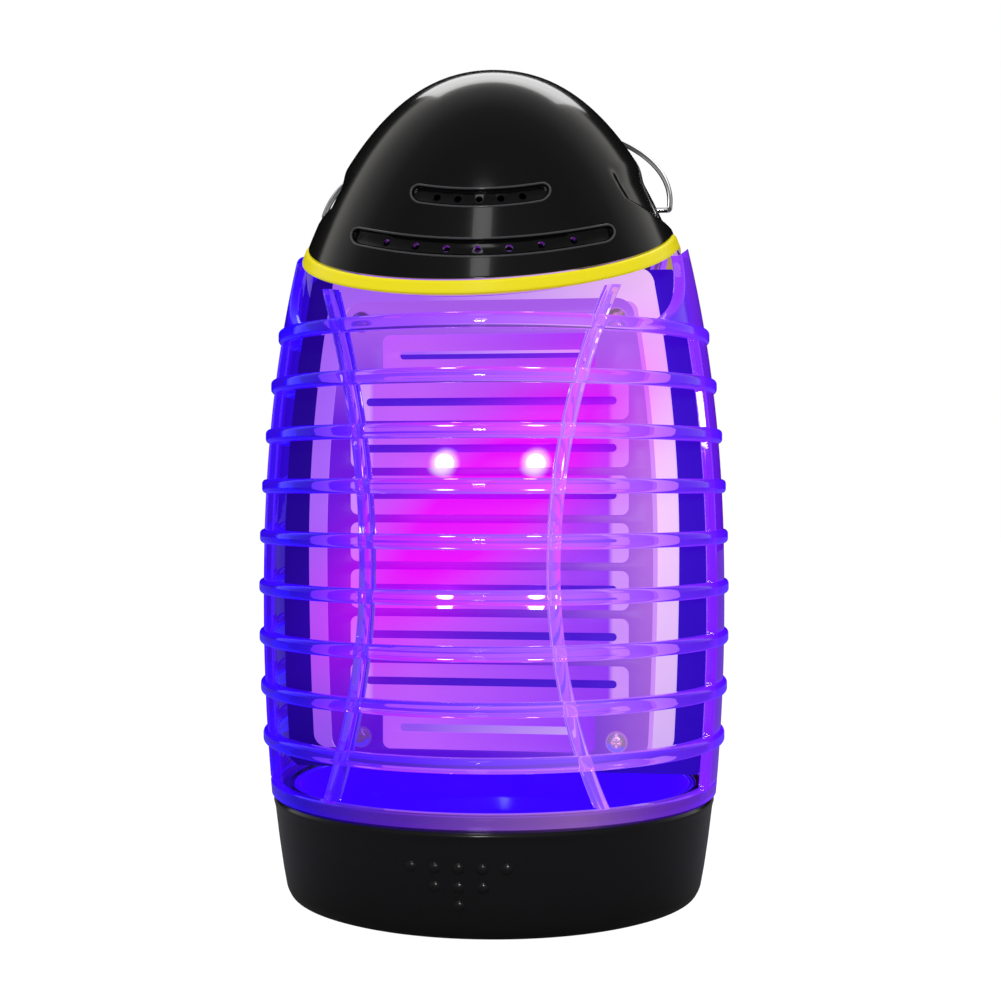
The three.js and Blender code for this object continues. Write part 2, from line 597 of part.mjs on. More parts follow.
function coreHousing() {
  const body = barrelShape(coreHalfWidth, CORE_BOTTOM_Z, CORE_TOP_Z, 3);
  const pocket = barrelShape((z) => coreHalfWidth(z) - CORE_RIM, POCKET_BOTTOM_Z, POCKET_TOP_Z, 5);
  let housing = plate(body, CORE_BACK_Y, CORE_FRONT_Y).subtract(plate(pocket, CORE_POCKET_Y, FAR));
  for (const [x, z] of screwPlaces) {
    housing = housing.add(bar('y', POST_RADIUS, -GRID_BACK_Y + GAP, -CORE_FRONT_Y + 1, [x, 0, z], 12));
  }
  for (const [x, z] of screwPlaces) {
    housing = housing.subtract(bar('y', SCREW_SHANK_RADIUS + GAP, -FAR, -4, [x, 0, z], 8));
  }
  return housing;
}

function ledBoard() {
  const shape = barrelShape((z) => coreHalfWidth(z) - CORE_RIM - 3, POCKET_BOTTOM_Z + 4, POCKET_TOP_Z - 4, 5);
  return plate(shape, LED_BOARD_BACK_Y, LED_BOARD_FRONT_Y);
}

// The inner plate: dark slots between the grid's bars, with a hole for each LED and post.
function slotPlate() {
  const shape = barrelShape((z) => coreHalfWidth(z) - GRID_INSET + 1, CORE_BOTTOM_Z - 0.5,
    PLATE_TOP_Z - 1.5, 2.5);
  for (const z of slotHeights) {
    const halfLength = isBesideScrews(z) ? SHORT_SLOT_HALF_LENGTH : SLOT_HALF_LENGTH;
    shape.holes.push(roundedHole(halfLength, z, SLOT_HEIGHT, SLOT_HEIGHT / 2 - 0.1));
  }
  for (const [x, z] of ledPlaces) shape.holes.push(roundHole(x, z, LED_RADIUS + GAP));
  for (const [x, z] of screwPlaces) shape.holes.push(roundHole(x, z, POST_RADIUS + 0.5));
  return plate(shape, SLOT_PLATE_BACK_Y, SLOT_PLATE_FRONT_Y);
}

// The outer electrode: a ladder of bars between two rails.
function electrodeGrid() {
  const shape = barrelShape((z) => coreHalfWidth(z) - GRID_INSET, CORE_BOTTOM_Z - 1, PLATE_TOP_Z - 1, 5);
  for (const z of slotHeights) {
    const halfWidth = isBesideScrews(z) ? SHORT_SLOT_HALF_LENGTH + 4 : WINDOW_HALF_WIDTH;
    shape.holes.push(roundedHole(halfWidth, z, BAR_PITCH - BAR_HEIGHT, 2));
  }
  for (const [x, z] of screwPlaces) shape.holes.push(roundHole(x, z, SCREW_SHANK_RADIUS + GAP));
  return plate(shape, GRID_BACK_Y, GRID_FRONT_Y);
}

function led() {
  return turned([
    [0, 0],
    [LED_RADIUS, 0],
    [LED_RADIUS, 2.4],
    [LED_RADIUS * 0.7, 4.2],
    [0, 4.9],
  ], 8);
}

function divider() {
  const halfWidth = (z) => guardRadius(z) - DIVIDER_INSET;
  const shape = barrelShape(halfWidth, DIVIDER_BOTTOM_Z, HEAD_FLOOR_Z - GAP, 2);
  return plate(shape, -DIVIDER_HALF_THICKNESS, DIVIDER_HALF_THICKNESS);
}

add('divider', divider(), blackSatin());
for (const [faceName, face] of FACES) {
  const turn = faceTurn(face);
  add(`core_${faceName}`, coreHousing(), whitePlastic(), turn);
  add(`led_board_${faceName}`, ledBoard(), greenBoard(), turn);
  add(`slot_plate_${faceName}`, slotPlate(), whitePlastic(), turn);
  add(`grid_${faceName}`, electrodeGrid(), steel(), turn);
  ledPlaces.forEach(([x, z], i) => add(`led_${faceName}_${i + 1}`, led(), ledViolet(), (mesh) => {
    mesh.position.set(face * x, -face * (LED_BOARD_FRONT_Y + GAP), z);
    mesh.rotation.x = face * Math.PI / 2;
  }));
  screwPlaces.forEach(([x, z], i) => {
    const shape = screw(SCREW_SHANK_RADIUS, SCREW_HEAD_RADIUS, SCREW_HEAD_HEIGHT, 7);
    add(`grid_screw_${faceName}_${i + 1}`, shape, steel(), (mesh) => {
      mesh.position.set(face * x, -face * (GRID_FRONT_Y + GAP), z);
      mesh.rotation.x = -face * Math.PI / 2;
    });
  });
}

// ---------------------------------------------------------------- base and tray

const BASE_OUTSIDE = [
  [0, 0],
  [53.5, 0],
  [55.6, 0.9],
  [56.7, 3],
  [57.7, 8.5],
  [58.8, 16],
  [BASE_TOP_RADIUS - 0.2, 25.5],
  [BASE_TOP_RADIUS + 0.2, 26.4],
  [BASE_TOP_RADIUS + 0.2, 27.4],
  [BASE_TOP_RADIUS - 0.6, BASE_TOP_Z],
];

// The base's inner wall, which the catch tray follows with a gap.
const baseInside = (grow) => [
  [55.2 - grow, SPIGOT_TOP_Z],
  [55.2 - grow, 16],
  [53.9 - grow, 8],
  [52.6 - grow, BASE_WALL + 1.6 + grow],
  [51 - grow, BASE_WALL + grow],
  [0, BASE_WALL + grow],
];

// Raised dots on the front of the base, in rows of five, three and one.
function baseDots() {
  const rows = [[5, 18.7], [3, 14], [1, 9.3]];
  const dots = rows.flatMap(([count, z]) => Array.from({ length: count }, (_, i) => {
    const x = (i - (count - 1) / 2) * DOT_PITCH;
    return bar('y', DOT_RADIUS, -BASE_TOP_RADIUS, -55, [x, 0, z], 8);
  }));
  return dots.reduce((sum, dot) => sum.add(dot));
}

function baseShell() {
  const wall = turned([...BASE_OUTSIDE, [SPIGOT_RADIUS, BASE_TOP_Z], [SPIGOT_RADIUS, SPIGOT_TOP_Z],
    ...baseInside(0)]);
  const dotSkin = BASE_OUTSIDE.slice(1).map(([radius, z]) => [radius + DOT_PROUD, z]);
  return wall.add(baseDots().intersect(turned([[0, 0], ...dotSkin, [0, BASE_TOP_Z]])));
}

function catchTray() {
  const outside = baseInside(TRAY_GAP).reverse();
  const inside = baseInside(TRAY_GAP + TRAY_WALL);
  outside[outside.length - 1][1] = SPIGOT_TOP_Z - 0.4;
  inside[0][1] = SPIGOT_TOP_Z - 0.4;
  return turned([...outside, ...inside]);
}

add('base_shell', baseShell(), blackSatin());
add('catch_tray', catchTray(), clearViolet());

export default zapper;
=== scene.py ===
"""Electric bug zapper: the visible model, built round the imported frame.

Laid out as an add-on. Every piece has its own operator, listed in the sidebar's Zapper tab.
Lengths are metres in the frame's own axes: +Z up, the front towards -Y.
"""

import math

import bmesh
import bpy
import numpy as np
from bpy.props import FloatProperty, FloatVectorProperty, IntProperty, PointerProperty
from mathutils import Matrix, Vector


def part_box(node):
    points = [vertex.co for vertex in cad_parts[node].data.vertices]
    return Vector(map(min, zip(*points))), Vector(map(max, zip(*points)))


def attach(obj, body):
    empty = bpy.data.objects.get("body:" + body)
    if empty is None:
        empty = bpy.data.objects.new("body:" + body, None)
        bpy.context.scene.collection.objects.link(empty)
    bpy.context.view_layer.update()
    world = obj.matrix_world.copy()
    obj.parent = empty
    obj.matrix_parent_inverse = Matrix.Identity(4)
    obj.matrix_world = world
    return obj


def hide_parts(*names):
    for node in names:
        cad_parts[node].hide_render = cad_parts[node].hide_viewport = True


bl_info = {
    "name": "Electric bug zapper",
    "version": (1, 0, 0),
    "blender": (4, 5, 0),
    "location": "3D View > Sidebar > Zapper",
    "description": "Builds the looks of a lantern-shaped electric bug zapper on its packed frame",
    "category": "Object",
}

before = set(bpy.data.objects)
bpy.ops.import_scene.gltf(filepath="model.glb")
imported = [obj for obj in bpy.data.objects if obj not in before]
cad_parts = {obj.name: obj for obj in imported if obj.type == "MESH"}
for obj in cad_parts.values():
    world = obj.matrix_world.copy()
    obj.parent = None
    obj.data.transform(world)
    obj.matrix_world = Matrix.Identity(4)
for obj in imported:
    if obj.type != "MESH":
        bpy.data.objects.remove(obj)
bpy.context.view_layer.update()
MM = 0.001
BARREL_POWER = 2.3              # how the guard's outline closes in towards the head
HEAD_TOP_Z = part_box("dome_cap")[1].z
GUARD_BODY = "lantern"


# ------------------------------------------------------------------ sizes and colours

def length(name, description, millimetres):
    """A length property, given in millimetres and kept in metres."""
    return FloatProperty(name=name, description=description, default=millimetres * MM, unit="LENGTH",
                         precision=5)


def colour(name, description, red, green, blue):
    """A linear colour property."""
    return FloatVectorProperty(name=name, description=description, subtype="COLOR", size=3,
                               min=0.0, max=1.0, default=(red, green, blue))


class ZapperHeadSizes(bpy.types.PropertyGroup):
    """Sizes of the domed head, its accent ring and its bail."""
    foot_z: length("Dome foot", "Height where the dome's outline would be widest", 155)
    foot_radius: length("Dome radius", "Radius of the dome's outline at its foot", 57)
    rise_power: FloatProperty(name="Rise", description="How late the dome turns in", default=1.235)
    round_power: FloatProperty(name="Roundness", description="How full the dome's top is", default=2.3)
    wall: length("Shell wall", "Thickness of the head shell", 2.6)
    arch_slope: FloatProperty(name="Arch slope", description="Fall of the lower edge per length",
                              default=0.358)
    edge_peak: length("Shell edge peak", "Peak that the shell's lower edge heads for at the sides",
                      181.85)
    edge_soft: length("Shell edge rounding", "Rounding of that peak", 5.5)
    ring_peak: length("Ring edge peak", "Peak that the accent ring's lower edge heads for", 178.3)
    ring_soft: length("Ring edge rounding", "Rounding of that peak", 6.7)
    ring_proud: length("Ring stand-off", "How far the accent ring stands out from the shell", 0.4)
    vent_depth: length("Vent depth", "Depth of the vent grooves", 1.3)
    vent_turn: FloatProperty(name="Vent turn", description="How far round from the front the vents sit",
                             default=math.radians(4), subtype="ANGLE")
    pocket_depth: length("Pocket depth", "Depth of the side pockets", 1.5)
    pivot_z: length("Bail pivot", "Height of the bail's pivot line", 186.5)
    bail_radius: length("Bail loop radius", "Radius of the wire loop", 48.3)
    bail_leg: length("Bail leg", "Straight part of the wire before the loop", 3)
    bail_wire: length("Bail wire radius", "Radius of the wire", 0.75)
    bail_rest: FloatProperty(name="Bail rest angle", description="Angle above the horizontal",
                             default=math.radians(40), subtype="ANGLE")


class ZapperGuardSizes(bpy.types.PropertyGroup):
    """Sizes of the clear ring guard."""
    widest_z: length("Widest height", "Height where the guard is widest", 80)
    radius: length("Radius", "Outer radius of the pillars at the widest height", 63.15)
    top_narrowing: length("Top narrowing", "Loss of radius at the top", 9.25)
    top_span: length("Top span", "Height over which the top narrows", 93.3)
    foot_narrowing: length("Foot narrowing", "Loss of radius at the foot", 1.95)
    foot_span: length("Foot span", "Height over which the foot narrows", 47.7)
    ring_count: IntProperty(name="Rings", description="Number of rings", default=9, min=1)
    ring_top_z: length("Top ring height", "Height of the top ring's middle", 151.7)
    ring_pitch: length("Ring pitch", "Height from ring to ring", 13.47)
    ring_proud: length("Ring stand-off", "How far the rings stand out from the pillars", 1.15)
    ring_depth: length("Ring depth", "Radial thickness of a ring", 3.6)
    ring_height: length("Ring height", "Height of a ring", 3.8)
    pillar_wall: length("Pillar wall", "Thickness of the side pillars", 2.6)
    pillar_half: length("Pillar half width", "Half width of a side pillar", 16)
    gusset_reach: length("Gusset reach", "How much wider than the pillar its gussets start", 20)
    rib_width: length("Rib width", "Width of a curved rib", 3)
    rib_depth: length("Rib depth", "Radial depth of a curved rib", 4.6)
    waist_x: length("Waist", "Half the gap between two ribs at the waist", 21.4)
    waist_z: length("Waist height", "Height of the waist", 91)


class ZapperCoreSizes(bpy.types.PropertyGroup):
    """Sizes of the core, its plates, bars, screws and lights."""
    half_width: length("Half width", "Half width of the core where it is widest", 51)
    widest_z: length("Widest height", "Height where the core is widest", 95)
    top_taper: length("Top taper", "Loss of half width towards the top", 7.4)
    foot_taper: length("Foot taper", "Loss of half width towards the foot", 2.8)
    taper_span: length("Taper span", "Height over which the tapers act", 75)
    bottom_z: length("Bottom", "Height of the core's lower edge", 39)
    top_z: length("Top", "Height of the core's upper edge", 170)
    plate_top_z: length("Plate top", "Height up to which the plates on the core reach", 162.6)
    bar_pitch: length("Bar pitch", "Height from bar to bar of the electrode grid", 12.75)
    bar_height: length("Bar height", "Height of one bar", 2.2)
    lowest_bar_z: length("Lowest bar", "Height of the lowest bar", 51.5)
    bar_count: IntProperty(name="Bars", description="Number of bars", default=8, min=1)
    window_half: length("Window half width", "Half width of the grid's windows", 38)
    slot_half: length("Slot half length", "Half length of the inner plate's slots", 34.5)
    short_half: length("Short half length", "Half length of the slots between the screws", 25)
    screw_x: length("Screw spacing", "Distance of a screw from the middle", 34.8)
    screw_low_z: length("Lower screws", "Height of the lower screws", 43)
    screw_high_z: length("Upper screws", "Height of the upper screws", 156)
    led_x: length("Light spacing", "Distance of a light from the middle", 12.6)
    led_low_z: length("Lower lights", "Height of the lower lights", 79.4)
    led_high_z: length("Upper lights", "Height of the upper lights", 117.6)


class ZapperColours(bpy.types.PropertyGroup):
    """Colours of the mouldings and of the violet light on them."""
    head_black: colour("Head black", "Gloss black of the domed head", 0.006, 0.006, 0.007)
    base_black: colour("Base black", "Satin black of the base", 0.009, 0.009, 0.0095)
    accent_yellow: colour("Accent yellow", "Yellow of the accent ring", 0.93, 0.80, 0.0)
    magenta: colour("Magenta", "Where the lights shine straight on the plates", 0.84, 0.003, 0.95)
    tray_blue: colour("Tray blue", "The tray in violet light", 0.045, 0.001, 0.85)
    night_blue: colour("Night blue", "Black plastic in violet light", 0.018, 0.001, 0.26)


# ------------------------------------------------------------------ mesh helpers

def smooth_object(name, mesh, materials):
    """Links a finished mesh as an object with smooth faces and its materials."""
    mesh.name = name
    if not mesh.materials:
        for material in materials:
            mesh.materials.append(material)
    mesh.shade_smooth()
    made = bpy.data.objects.new(name, mesh)
    bpy.context.scene.collection.objects.link(made)
    return made


def mesh_from(name, vertices, faces):
    """A mesh from lists, its doubles merged and its faces turned outwards."""
    mesh = bpy.data.meshes.new(name)
    mesh.from_pydata([tuple(v) for v in vertices], [], faces)
    tidy = bmesh.new()
    tidy.from_mesh(mesh)
    bmesh.ops.remove_doubles(tidy, verts=tidy.verts, dist=1e-7)
    bmesh.ops.delete(tidy, geom=[e for e in tidy.edges if e.is_wire], context="EDGES")
    bmesh.ops.recalc_face_normals(tidy, faces=tidy.faces)
    tidy.to_mesh(mesh)
    tidy.free()
    return mesh


def loft(name, rows, closed_rows=False):
    """A skin through rows of points. Each row is a closed loop. Ends are capped, or joined
    when closed_rows is true."""
    rows = np.asarray(rows)
    count, width = rows.shape[0], rows.shape[1]
    faces = []
    for i in range(count if closed_rows else count - 1):
        a, b = i * width, ((i + 1) % count) * width
        faces += [(a + j, a + (j + 1) % width, b + (j + 1) % width, b + j) for j in range(width)]
    if not closed_rows:
        faces.append(tuple(range(width))[::-1])
        faces.append(tuple((count - 1) * width + j for j in range(width)))
    return mesh_from(name, rows.reshape(-1, 3), faces)


def turned(name, profile, sides=160):
    """A turned mesh about Z from [radius, z] points that start and end on the axis or close up."""
    angles = np.arange(sides) * 2 * np.pi / sides
    closed = profile[0] == profile[-1]
    points = np.array(profile[:-1] if closed else profile)
    rows = [[(r * math.cos(a), r * math.sin(a), z) for a in angles] for r, z in points]
    vertices = np.array(rows).reshape(-1, 3)
    faces = []
    count = len(points)
    for i in range(count if closed else count - 1):
        a, b = i * sides, ((i + 1) % count) * sides
        faces += [(a + j, a + (j + 1) % sides, b + (j + 1) % sides, b + j) for j in range(sides)]
    return mesh_from(name, vertices, faces)


def joined(name, meshes):
    """One mesh from several, which are removed."""
    sum_mesh = bmesh.new()
    for mesh in meshes:
        sum_mesh.from_mesh(mesh)
        bpy.data.meshes.remove(mesh)
    mesh = bpy.data.meshes.new(name)
    sum_mesh.to_mesh(mesh)
    sum_mesh.free()
    return mesh


def rounded(points, radius, steps=5):
    """A polyline's corners rounded off: each inner point becomes a short arc."""
    out = [points[0]]
    for before, corner, after in zip(points, points[1:], points[2:]):
        a, b, c = Vector(before), Vector(corner), Vector(after)
        reach = min(radius, (a - b).length / 2.1, (c - b).length / 2.1)
        start, end = b + (a - b).normalized() * reach, b + (c - b).normalized() * reach
        for i in range(steps):
            t = i / (steps - 1)
            out.append(tuple(start.lerp(b, t).lerp(b.lerp(end, t), t)))
    out.append(points[-1])
    return out


def flat_plate(name, outer, holes, near, far, edge):
    """A plate in the XZ plane with holes and softened edges, between two depths in front of
    the middle plane."""
    drawing = bpy.data.curves.new(name, "CURVE")
    drawing.dimensions = "2D"
    drawing.fill_mode = "BOTH"
    drawing.extrude = (far - near) / 2 - edge
    drawing.bevel_depth = edge
    drawing.bevel_resolution = 2
    drawing.offset = -edge
    for loop in [outer, *holes]:
        spline = drawing.splines.new("POLY")
        spline.points.add(len(loop) - 1)
        spline.use_cyclic_u = True
        for point, (x, z) in zip(spline.points, loop):
            point.co = (x, z, 0, 1)
    holder = bpy.data.objects.new(name, drawing)
    bpy.context.scene.collection.objects.link(holder)
    graph = bpy.context.evaluated_depsgraph_get()
    mesh = bpy.data.meshes.new_from_object(holder.evaluated_get(graph))
    bpy.data.objects.remove(holder)
    bpy.data.curves.remove(drawing)
    depth = (near + far) / 2
    mesh.transform(Matrix(((1, 0, 0, 0), (0, 0, -1, -depth), (0, 1, 0, 0), (0, 0, 0, 1))))
    tidy = bmesh.new()
    tidy.from_mesh(mesh)
    bmesh.ops.remove_doubles(tidy, verts=tidy.verts, dist=1e-7)
    bmesh.ops.recalc_face_normals(tidy, faces=tidy.faces)
    tidy.to_mesh(mesh)
    tidy.free()
    return mesh


def rear_copy(mesh):
    """A copy turned half a turn about Z, for the rear face."""
    turned_copy = mesh.copy()
    turned_copy.transform(Matrix.Rotation(math.pi, 4, "Z"))
    return turned_copy


def round_corner_loop(half_x, middle_z, height, radius, steps=7):
    """A rounded rectangle centred on x = 0, as [x, z] points."""
    loop = []
    for quarter, (sx, sz) in enumerate(((1, 1), (-1, 1), (-1, -1), (1, -1))):
        centre_x, centre_z = sx * (half_x - radius), middle_z + sz * (height / 2 - radius)
        for i in range(steps):
            angle = (quarter + i / (steps - 1)) * math.pi / 2
            loop.append((centre_x + radius * math.cos(angle), centre_z + radius * math.sin(angle)))
    return loop


def circle_loop(x, z, radius, steps=32):
    """A circle as [x, z] points."""
    return [(x + radius * math.cos(a), z + radius * math.sin(a))
            for a in np.arange(steps) * 2 * np.pi / steps]


# ------------------------------------------------------------------ geometry node helpers

def node_tree(name, inputs):
    """A geometry node tree with named inputs of (name, socket type, default)."""
    tree = bpy.data.node_groups.new(name, "GeometryNodeTree")
    tree.is_modifier = True
    tree.interface.new_socket("Geometry", in_out="INPUT", socket_type="NodeSocketGeometry")
    for label, kind, default in inputs:
        socket = tree.interface.new_socket(label, in_out="INPUT", socket_type=kind)
        if default is not None:
            socket.default_value = default
    tree.interface.new_socket("Geometry", in_out="OUTPUT", socket_type="NodeSocketGeometry")
    return tree, tree.nodes.new("NodeGroupInput"), tree.nodes.new("NodeGroupOutput")


def add_node(tree, kind, links=None, **settings):
    """A node with its properties and inputs set. links maps an input to a socket or a value."""
    node = tree.nodes.new(kind)
    for key, value in settings.items():
        setattr(node, key, value)
    for key, source in (links or {}).items():
        socket = node.inputs[key]
        if isinstance(source, bpy.types.NodeSocket):
            tree.links.new(source, socket)
        else:
            socket.default_value = source
    return node


def finish_tree(tree, geometry, material, output):
    """Ends a tree in Realize Instances and Set Material."""
    real = add_node(tree, "GeometryNodeRealizeInstances", {"Geometry": geometry})
    painted = add_node(tree, "GeometryNodeSetMaterial",
                       {"Geometry": real.outputs[0], "Material": material})
    tree.links.new(painted.outputs[0], output.inputs[0])


def grown(name, tree, start, values):
    """The plain mesh that a tree grows from a start mesh. values maps input names to values."""
    holder = bpy.data.objects.new(name, start)
    bpy.context.scene.collection.objects.link(holder)
    modifier = holder.modifiers.new("grow", "NODES")
    modifier.node_group = tree
    sockets = {s.name: s.identifier for s in tree.interface.items_tree if s.in_out == "INPUT"}
    for label, value in values.items():
        modifier[sockets[label]] = value
    graph = bpy.context.evaluated_depsgraph_get()
    mesh = bpy.data.meshes.new_from_object(holder.evaluated_get(graph))
    bpy.data.objects.remove(holder)
    bpy.data.meshes.remove(start)
    bpy.data.node_groups.remove(tree)
    if not mesh.polygons:
        raise RuntimeError(f"{name} grew no faces")
    return mesh


def points_mesh(name, points):
    """A mesh of loose points."""
    mesh = bpy.data.meshes.new(name)
    mesh.from_pydata([tuple(p) for p in points], [], [])
    return mesh


def scattered(name, points, pattern, rotation, material):
    """A copy of a pattern mesh on each point, turned by rotation."""
    tree, given, output = node_tree(name, [("Pattern", "NodeSocketObject", None),
                                           ("Turn", "NodeSocketRotation", None),
                                           ("Material", "NodeSocketMaterial", None)])
    source = bpy.data.objects.new(name + "_pattern", pattern)
    bpy.context.scene.collection.objects.link(source)
    taken = add_node(tree, "GeometryNodeObjectInfo", {"Object": given.outputs["Pattern"]})
    cloud = add_node(tree, "GeometryNodeMeshToPoints", {"Mesh": given.outputs["Geometry"]})
    copies = add_node(tree, "GeometryNodeInstanceOnPoints",
                      {"Points": cloud.outputs[0], "Instance": taken.outputs["Geometry"],
                       "Rotation": given.outputs["Turn"]})
    finish_tree(tree, copies.outputs[0], given.outputs["Material"], output)
    mesh = grown(name, tree, points_mesh(name + "_places", points),
                 {"Pattern": source, "Turn": rotation, "Material": material})
    bpy.data.objects.remove(source)
    return mesh


# ------------------------------------------------------------------ material helpers

def shader_group(name, inputs, outputs):
    """A shader node group with named inputs and outputs."""
    group = bpy.data.node_groups.new(name, "ShaderNodeTree")
    for label, kind, default in inputs:
        group.interface.new_socket(label, in_out="INPUT", socket_type=kind).default_value = default
    for label, kind in outputs:
        group.interface.new_socket(label, in_out="OUTPUT", socket_type=kind)
    return group, group.nodes.new("NodeGroupInput"), group.nodes.new("NodeGroupOutput")


def moulded_grain():
    """Fine unevenness of a moulded surface: a gloss that varies, a height and a colour mask."""
    group, given, output = shader_group(
        "moulded_grain",
        [("Gloss", "NodeSocketFloat", 0.3), ("Variation", "NodeSocketFloat", 0.08),
         ("Grain Scale", "NodeSocketFloat", 900.0)],
        [("Roughness", "NodeSocketFloat"), ("Height", "NodeSocketFloat"), ("Mask", "NodeSocketFloat")])
    place = add_node(group, "ShaderNodeTexCoord")
    broad = add_node(group, "ShaderNodeTexNoise", {"Vector": place.outputs["Object"], "Scale": 45.0,
                                                   "Detail": 3.0})
    fine = add_node(group, "ShaderNodeTexNoise", {"Vector": place.outputs["Object"],
                                                  "Scale": given.outputs["Grain Scale"], "Detail": 2.0})
    centred = add_node(group, "ShaderNodeMath", {0: broad.outputs["Fac"], 1: 0.5}, operation="SUBTRACT")
    spread = add_node(group, "ShaderNodeMath",
                      {0: centred.outputs[0], 1: given.outputs["Variation"], 2: given.outputs["Gloss"]},
                      operation="MULTIPLY_ADD")
    group.links.new(spread.outputs[0], output.inputs["Roughness"])
    group.links.new(fine.outputs["Fac"], output.inputs["Height"])
    group.links.new(broad.outputs["Fac"], output.inputs["Mask"])
    return group


def violet_fall():
    """How the lights fall on the core, as masks: a streak between the lights, the bright side,
    the dim foot, the pale ends of the windows and a halo round the upper lights."""
    group, given, output = shader_group(
        "violet_fall",
        [("Streak Width", "NodeSocketFloat", 0.023), ("Streak Length", "NodeSocketFloat", 0.036),
         ("Upper Light", "NodeSocketVector", (0.0126, 0.0, 0.1176))],
        [("Streak", "NodeSocketFloat"), ("Side", "NodeSocketFloat"), ("Foot", "NodeSocketFloat"),
         ("Ends", "NodeSocketFloat"), ("Halo", "NodeSocketFloat")])
    place = add_node(group, "ShaderNodeTexCoord")
    parts = add_node(group, "ShaderNodeSeparateXYZ", {0: place.outputs["Object"]})
    # The rear face is the front turned half a turn, so the pattern follows the sign of -Y.
    facing = add_node(group, "ShaderNodeMath", {0: parts.outputs["Y"]}, operation="SIGN")
    toward = add_node(group, "ShaderNodeMath", {0: facing.outputs[0], 1: -1.0}, operation="MULTIPLY")
    across = add_node(group, "ShaderNodeMath", {0: parts.outputs["X"], 1: toward.outputs[0]},
                      operation="MULTIPLY")
    lean = add_node(group, "ShaderNodeMath", {0: parts.outputs["Z"], 1: 0.108}, operation="SUBTRACT")
    middle = add_node(group, "ShaderNodeMath", {0: lean.outputs[0], 1: 0.9}, operation="MULTIPLY")
    off = add_node(group, "ShaderNodeMath", {0: across.outputs[0], 1: middle.outputs[0]},
                   operation="SUBTRACT")
    off_scaled = add_node(group, "ShaderNodeMath", {0: off.outputs[0], 1: given.outputs["Streak Width"]},
                          operation="DIVIDE")
    off_square = add_node(group, "ShaderNodeMath", {0: off_scaled.outputs[0], 1: off_scaled.outputs[0]},
                          operation="MULTIPLY")
    tall = add_node(group, "ShaderNodeMath", {0: lean.outputs[0], 1: given.outputs["Streak Length"]},
                    operation="DIVIDE")
    tall_square = add_node(group, "ShaderNodeMath", {0: tall.outputs[0], 1: tall.outputs[0]},
                           operation="MULTIPLY")
    both = add_node(group, "ShaderNodeMath", {0: off_square.outputs[0], 1: tall_square.outputs[0]})
    fall = add_node(group, "ShaderNodeMath", {0: both.outputs[0], 1: -0.9}, operation="MULTIPLY")
    streak = add_node(group, "ShaderNodeMath", {0: fall.outputs[0]}, operation="EXPONENT")
    side = add_node(group, "ShaderNodeMapRange", {"Value": across.outputs[0], "From Min": -0.020,
                                                  "From Max": 0.044})
    foot = add_node(group, "ShaderNodeMapRange", {"Value": parts.outputs["Z"], "From Min": 0.105,
                                                  "From Max": 0.045})
    reach = add_node(group, "ShaderNodeMath", {0: across.outputs[0]}, operation="ABSOLUTE")
    ends = add_node(group, "ShaderNodeMapRange", {"Value": reach.outputs[0], "From Min": 0.0322,
                                                  "From Max": 0.0336})
    mirrored = add_node(group, "ShaderNodeCombineXYZ", {0: reach.outputs[0], 2: parts.outputs["Z"]})
    near = add_node(group, "ShaderNodeVectorMath",
                    {0: mirrored.outputs[0], 1: given.outputs["Upper Light"]}, operation="DISTANCE")
    halo = add_node(group, "ShaderNodeMapRange", {"Value": near.outputs["Value"], "From Min": 0.0048,
                                                  "From Max": 0.0016}, interpolation_type="SMOOTHSTEP")
    strong = add_node(group, "ShaderNodeMath", {0: streak.outputs[0], 1: 1.35}, operation="MULTIPLY",
                      use_clamp=True)
    for label, node in (("Streak", strong), ("Side", side), ("Foot", foot), ("Ends", ends),
                        ("Halo", halo)):
        group.links.new(node.outputs[0], output.inputs[label])
    return group


def group_for(maker):
    """The shared group that a maker builds, built once."""
    return bpy.data.node_groups.get(maker.__name__) or maker()


def surface(name, roughness, **sockets):
    """A new material: its tree and its Principled shader, with uniform values set on it."""
    material = bpy.data.materials.new(name)
    material.use_nodes = True
    shader = material.node_tree.nodes["Principled BSDF"]
    shader.inputs["Roughness"].default_value = roughness
    for label, value in sockets.items():
        shader.inputs[label.replace("_", " ")].default_value = value
    return material, material.node_tree, shader


def with_grain(tree, shader, gloss, variation, scale, height):
    """Feeds a shader's roughness and normal from the moulded grain, and returns its mask."""
    grain = add_node(tree, "ShaderNodeGroup", node_tree=group_for(moulded_grain))
    grain.inputs["Gloss"].default_value = gloss
    grain.inputs["Variation"].default_value = variation
    grain.inputs["Grain Scale"].default_value = scale
    tree.links.new(grain.outputs["Roughness"], shader.inputs["Roughness"])
    bump = add_node(tree, "ShaderNodeBump", {"Height": grain.outputs["Height"], "Strength": height,
                                             "Distance": 0.0002})
    tree.links.new(bump.outputs["Normal"], shader.inputs["Normal"])
    return grain.outputs["Mask"]


def blended(tree, mask, first, second):
    """A colour that goes from first to second with a mask. Each is a colour or a socket."""
    mix = tree.nodes.new("ShaderNodeMix")
    mix.data_type = "RGBA"
    tree.links.new(mask, mix.inputs[0])
    for socket, source in ((mix.inputs[6], first), (mix.inputs[7], second)):
        if isinstance(source, bpy.types.NodeSocket):
            tree.links.new(source, socket)
        else:
            socket.default_value = (*source, 1.0)
    return mix.outputs[2]


def multiplied(tree, first, second):
    """The product of two colours. Each is a colour or a socket."""
    mix = tree.nodes.new("ShaderNodeMix")
    mix.data_type = "RGBA"
    mix.blend_type = "MULTIPLY"
    mix.inputs[0].default_value = 1.0
    for socket, source in ((mix.inputs[6], first), (mix.inputs[7], second)):
        if isinstance(source, bpy.types.NodeSocket):
            tree.links.new(source, socket)
        else:
            socket.default_value = (*source, 1.0)
    return mix.outputs[2]


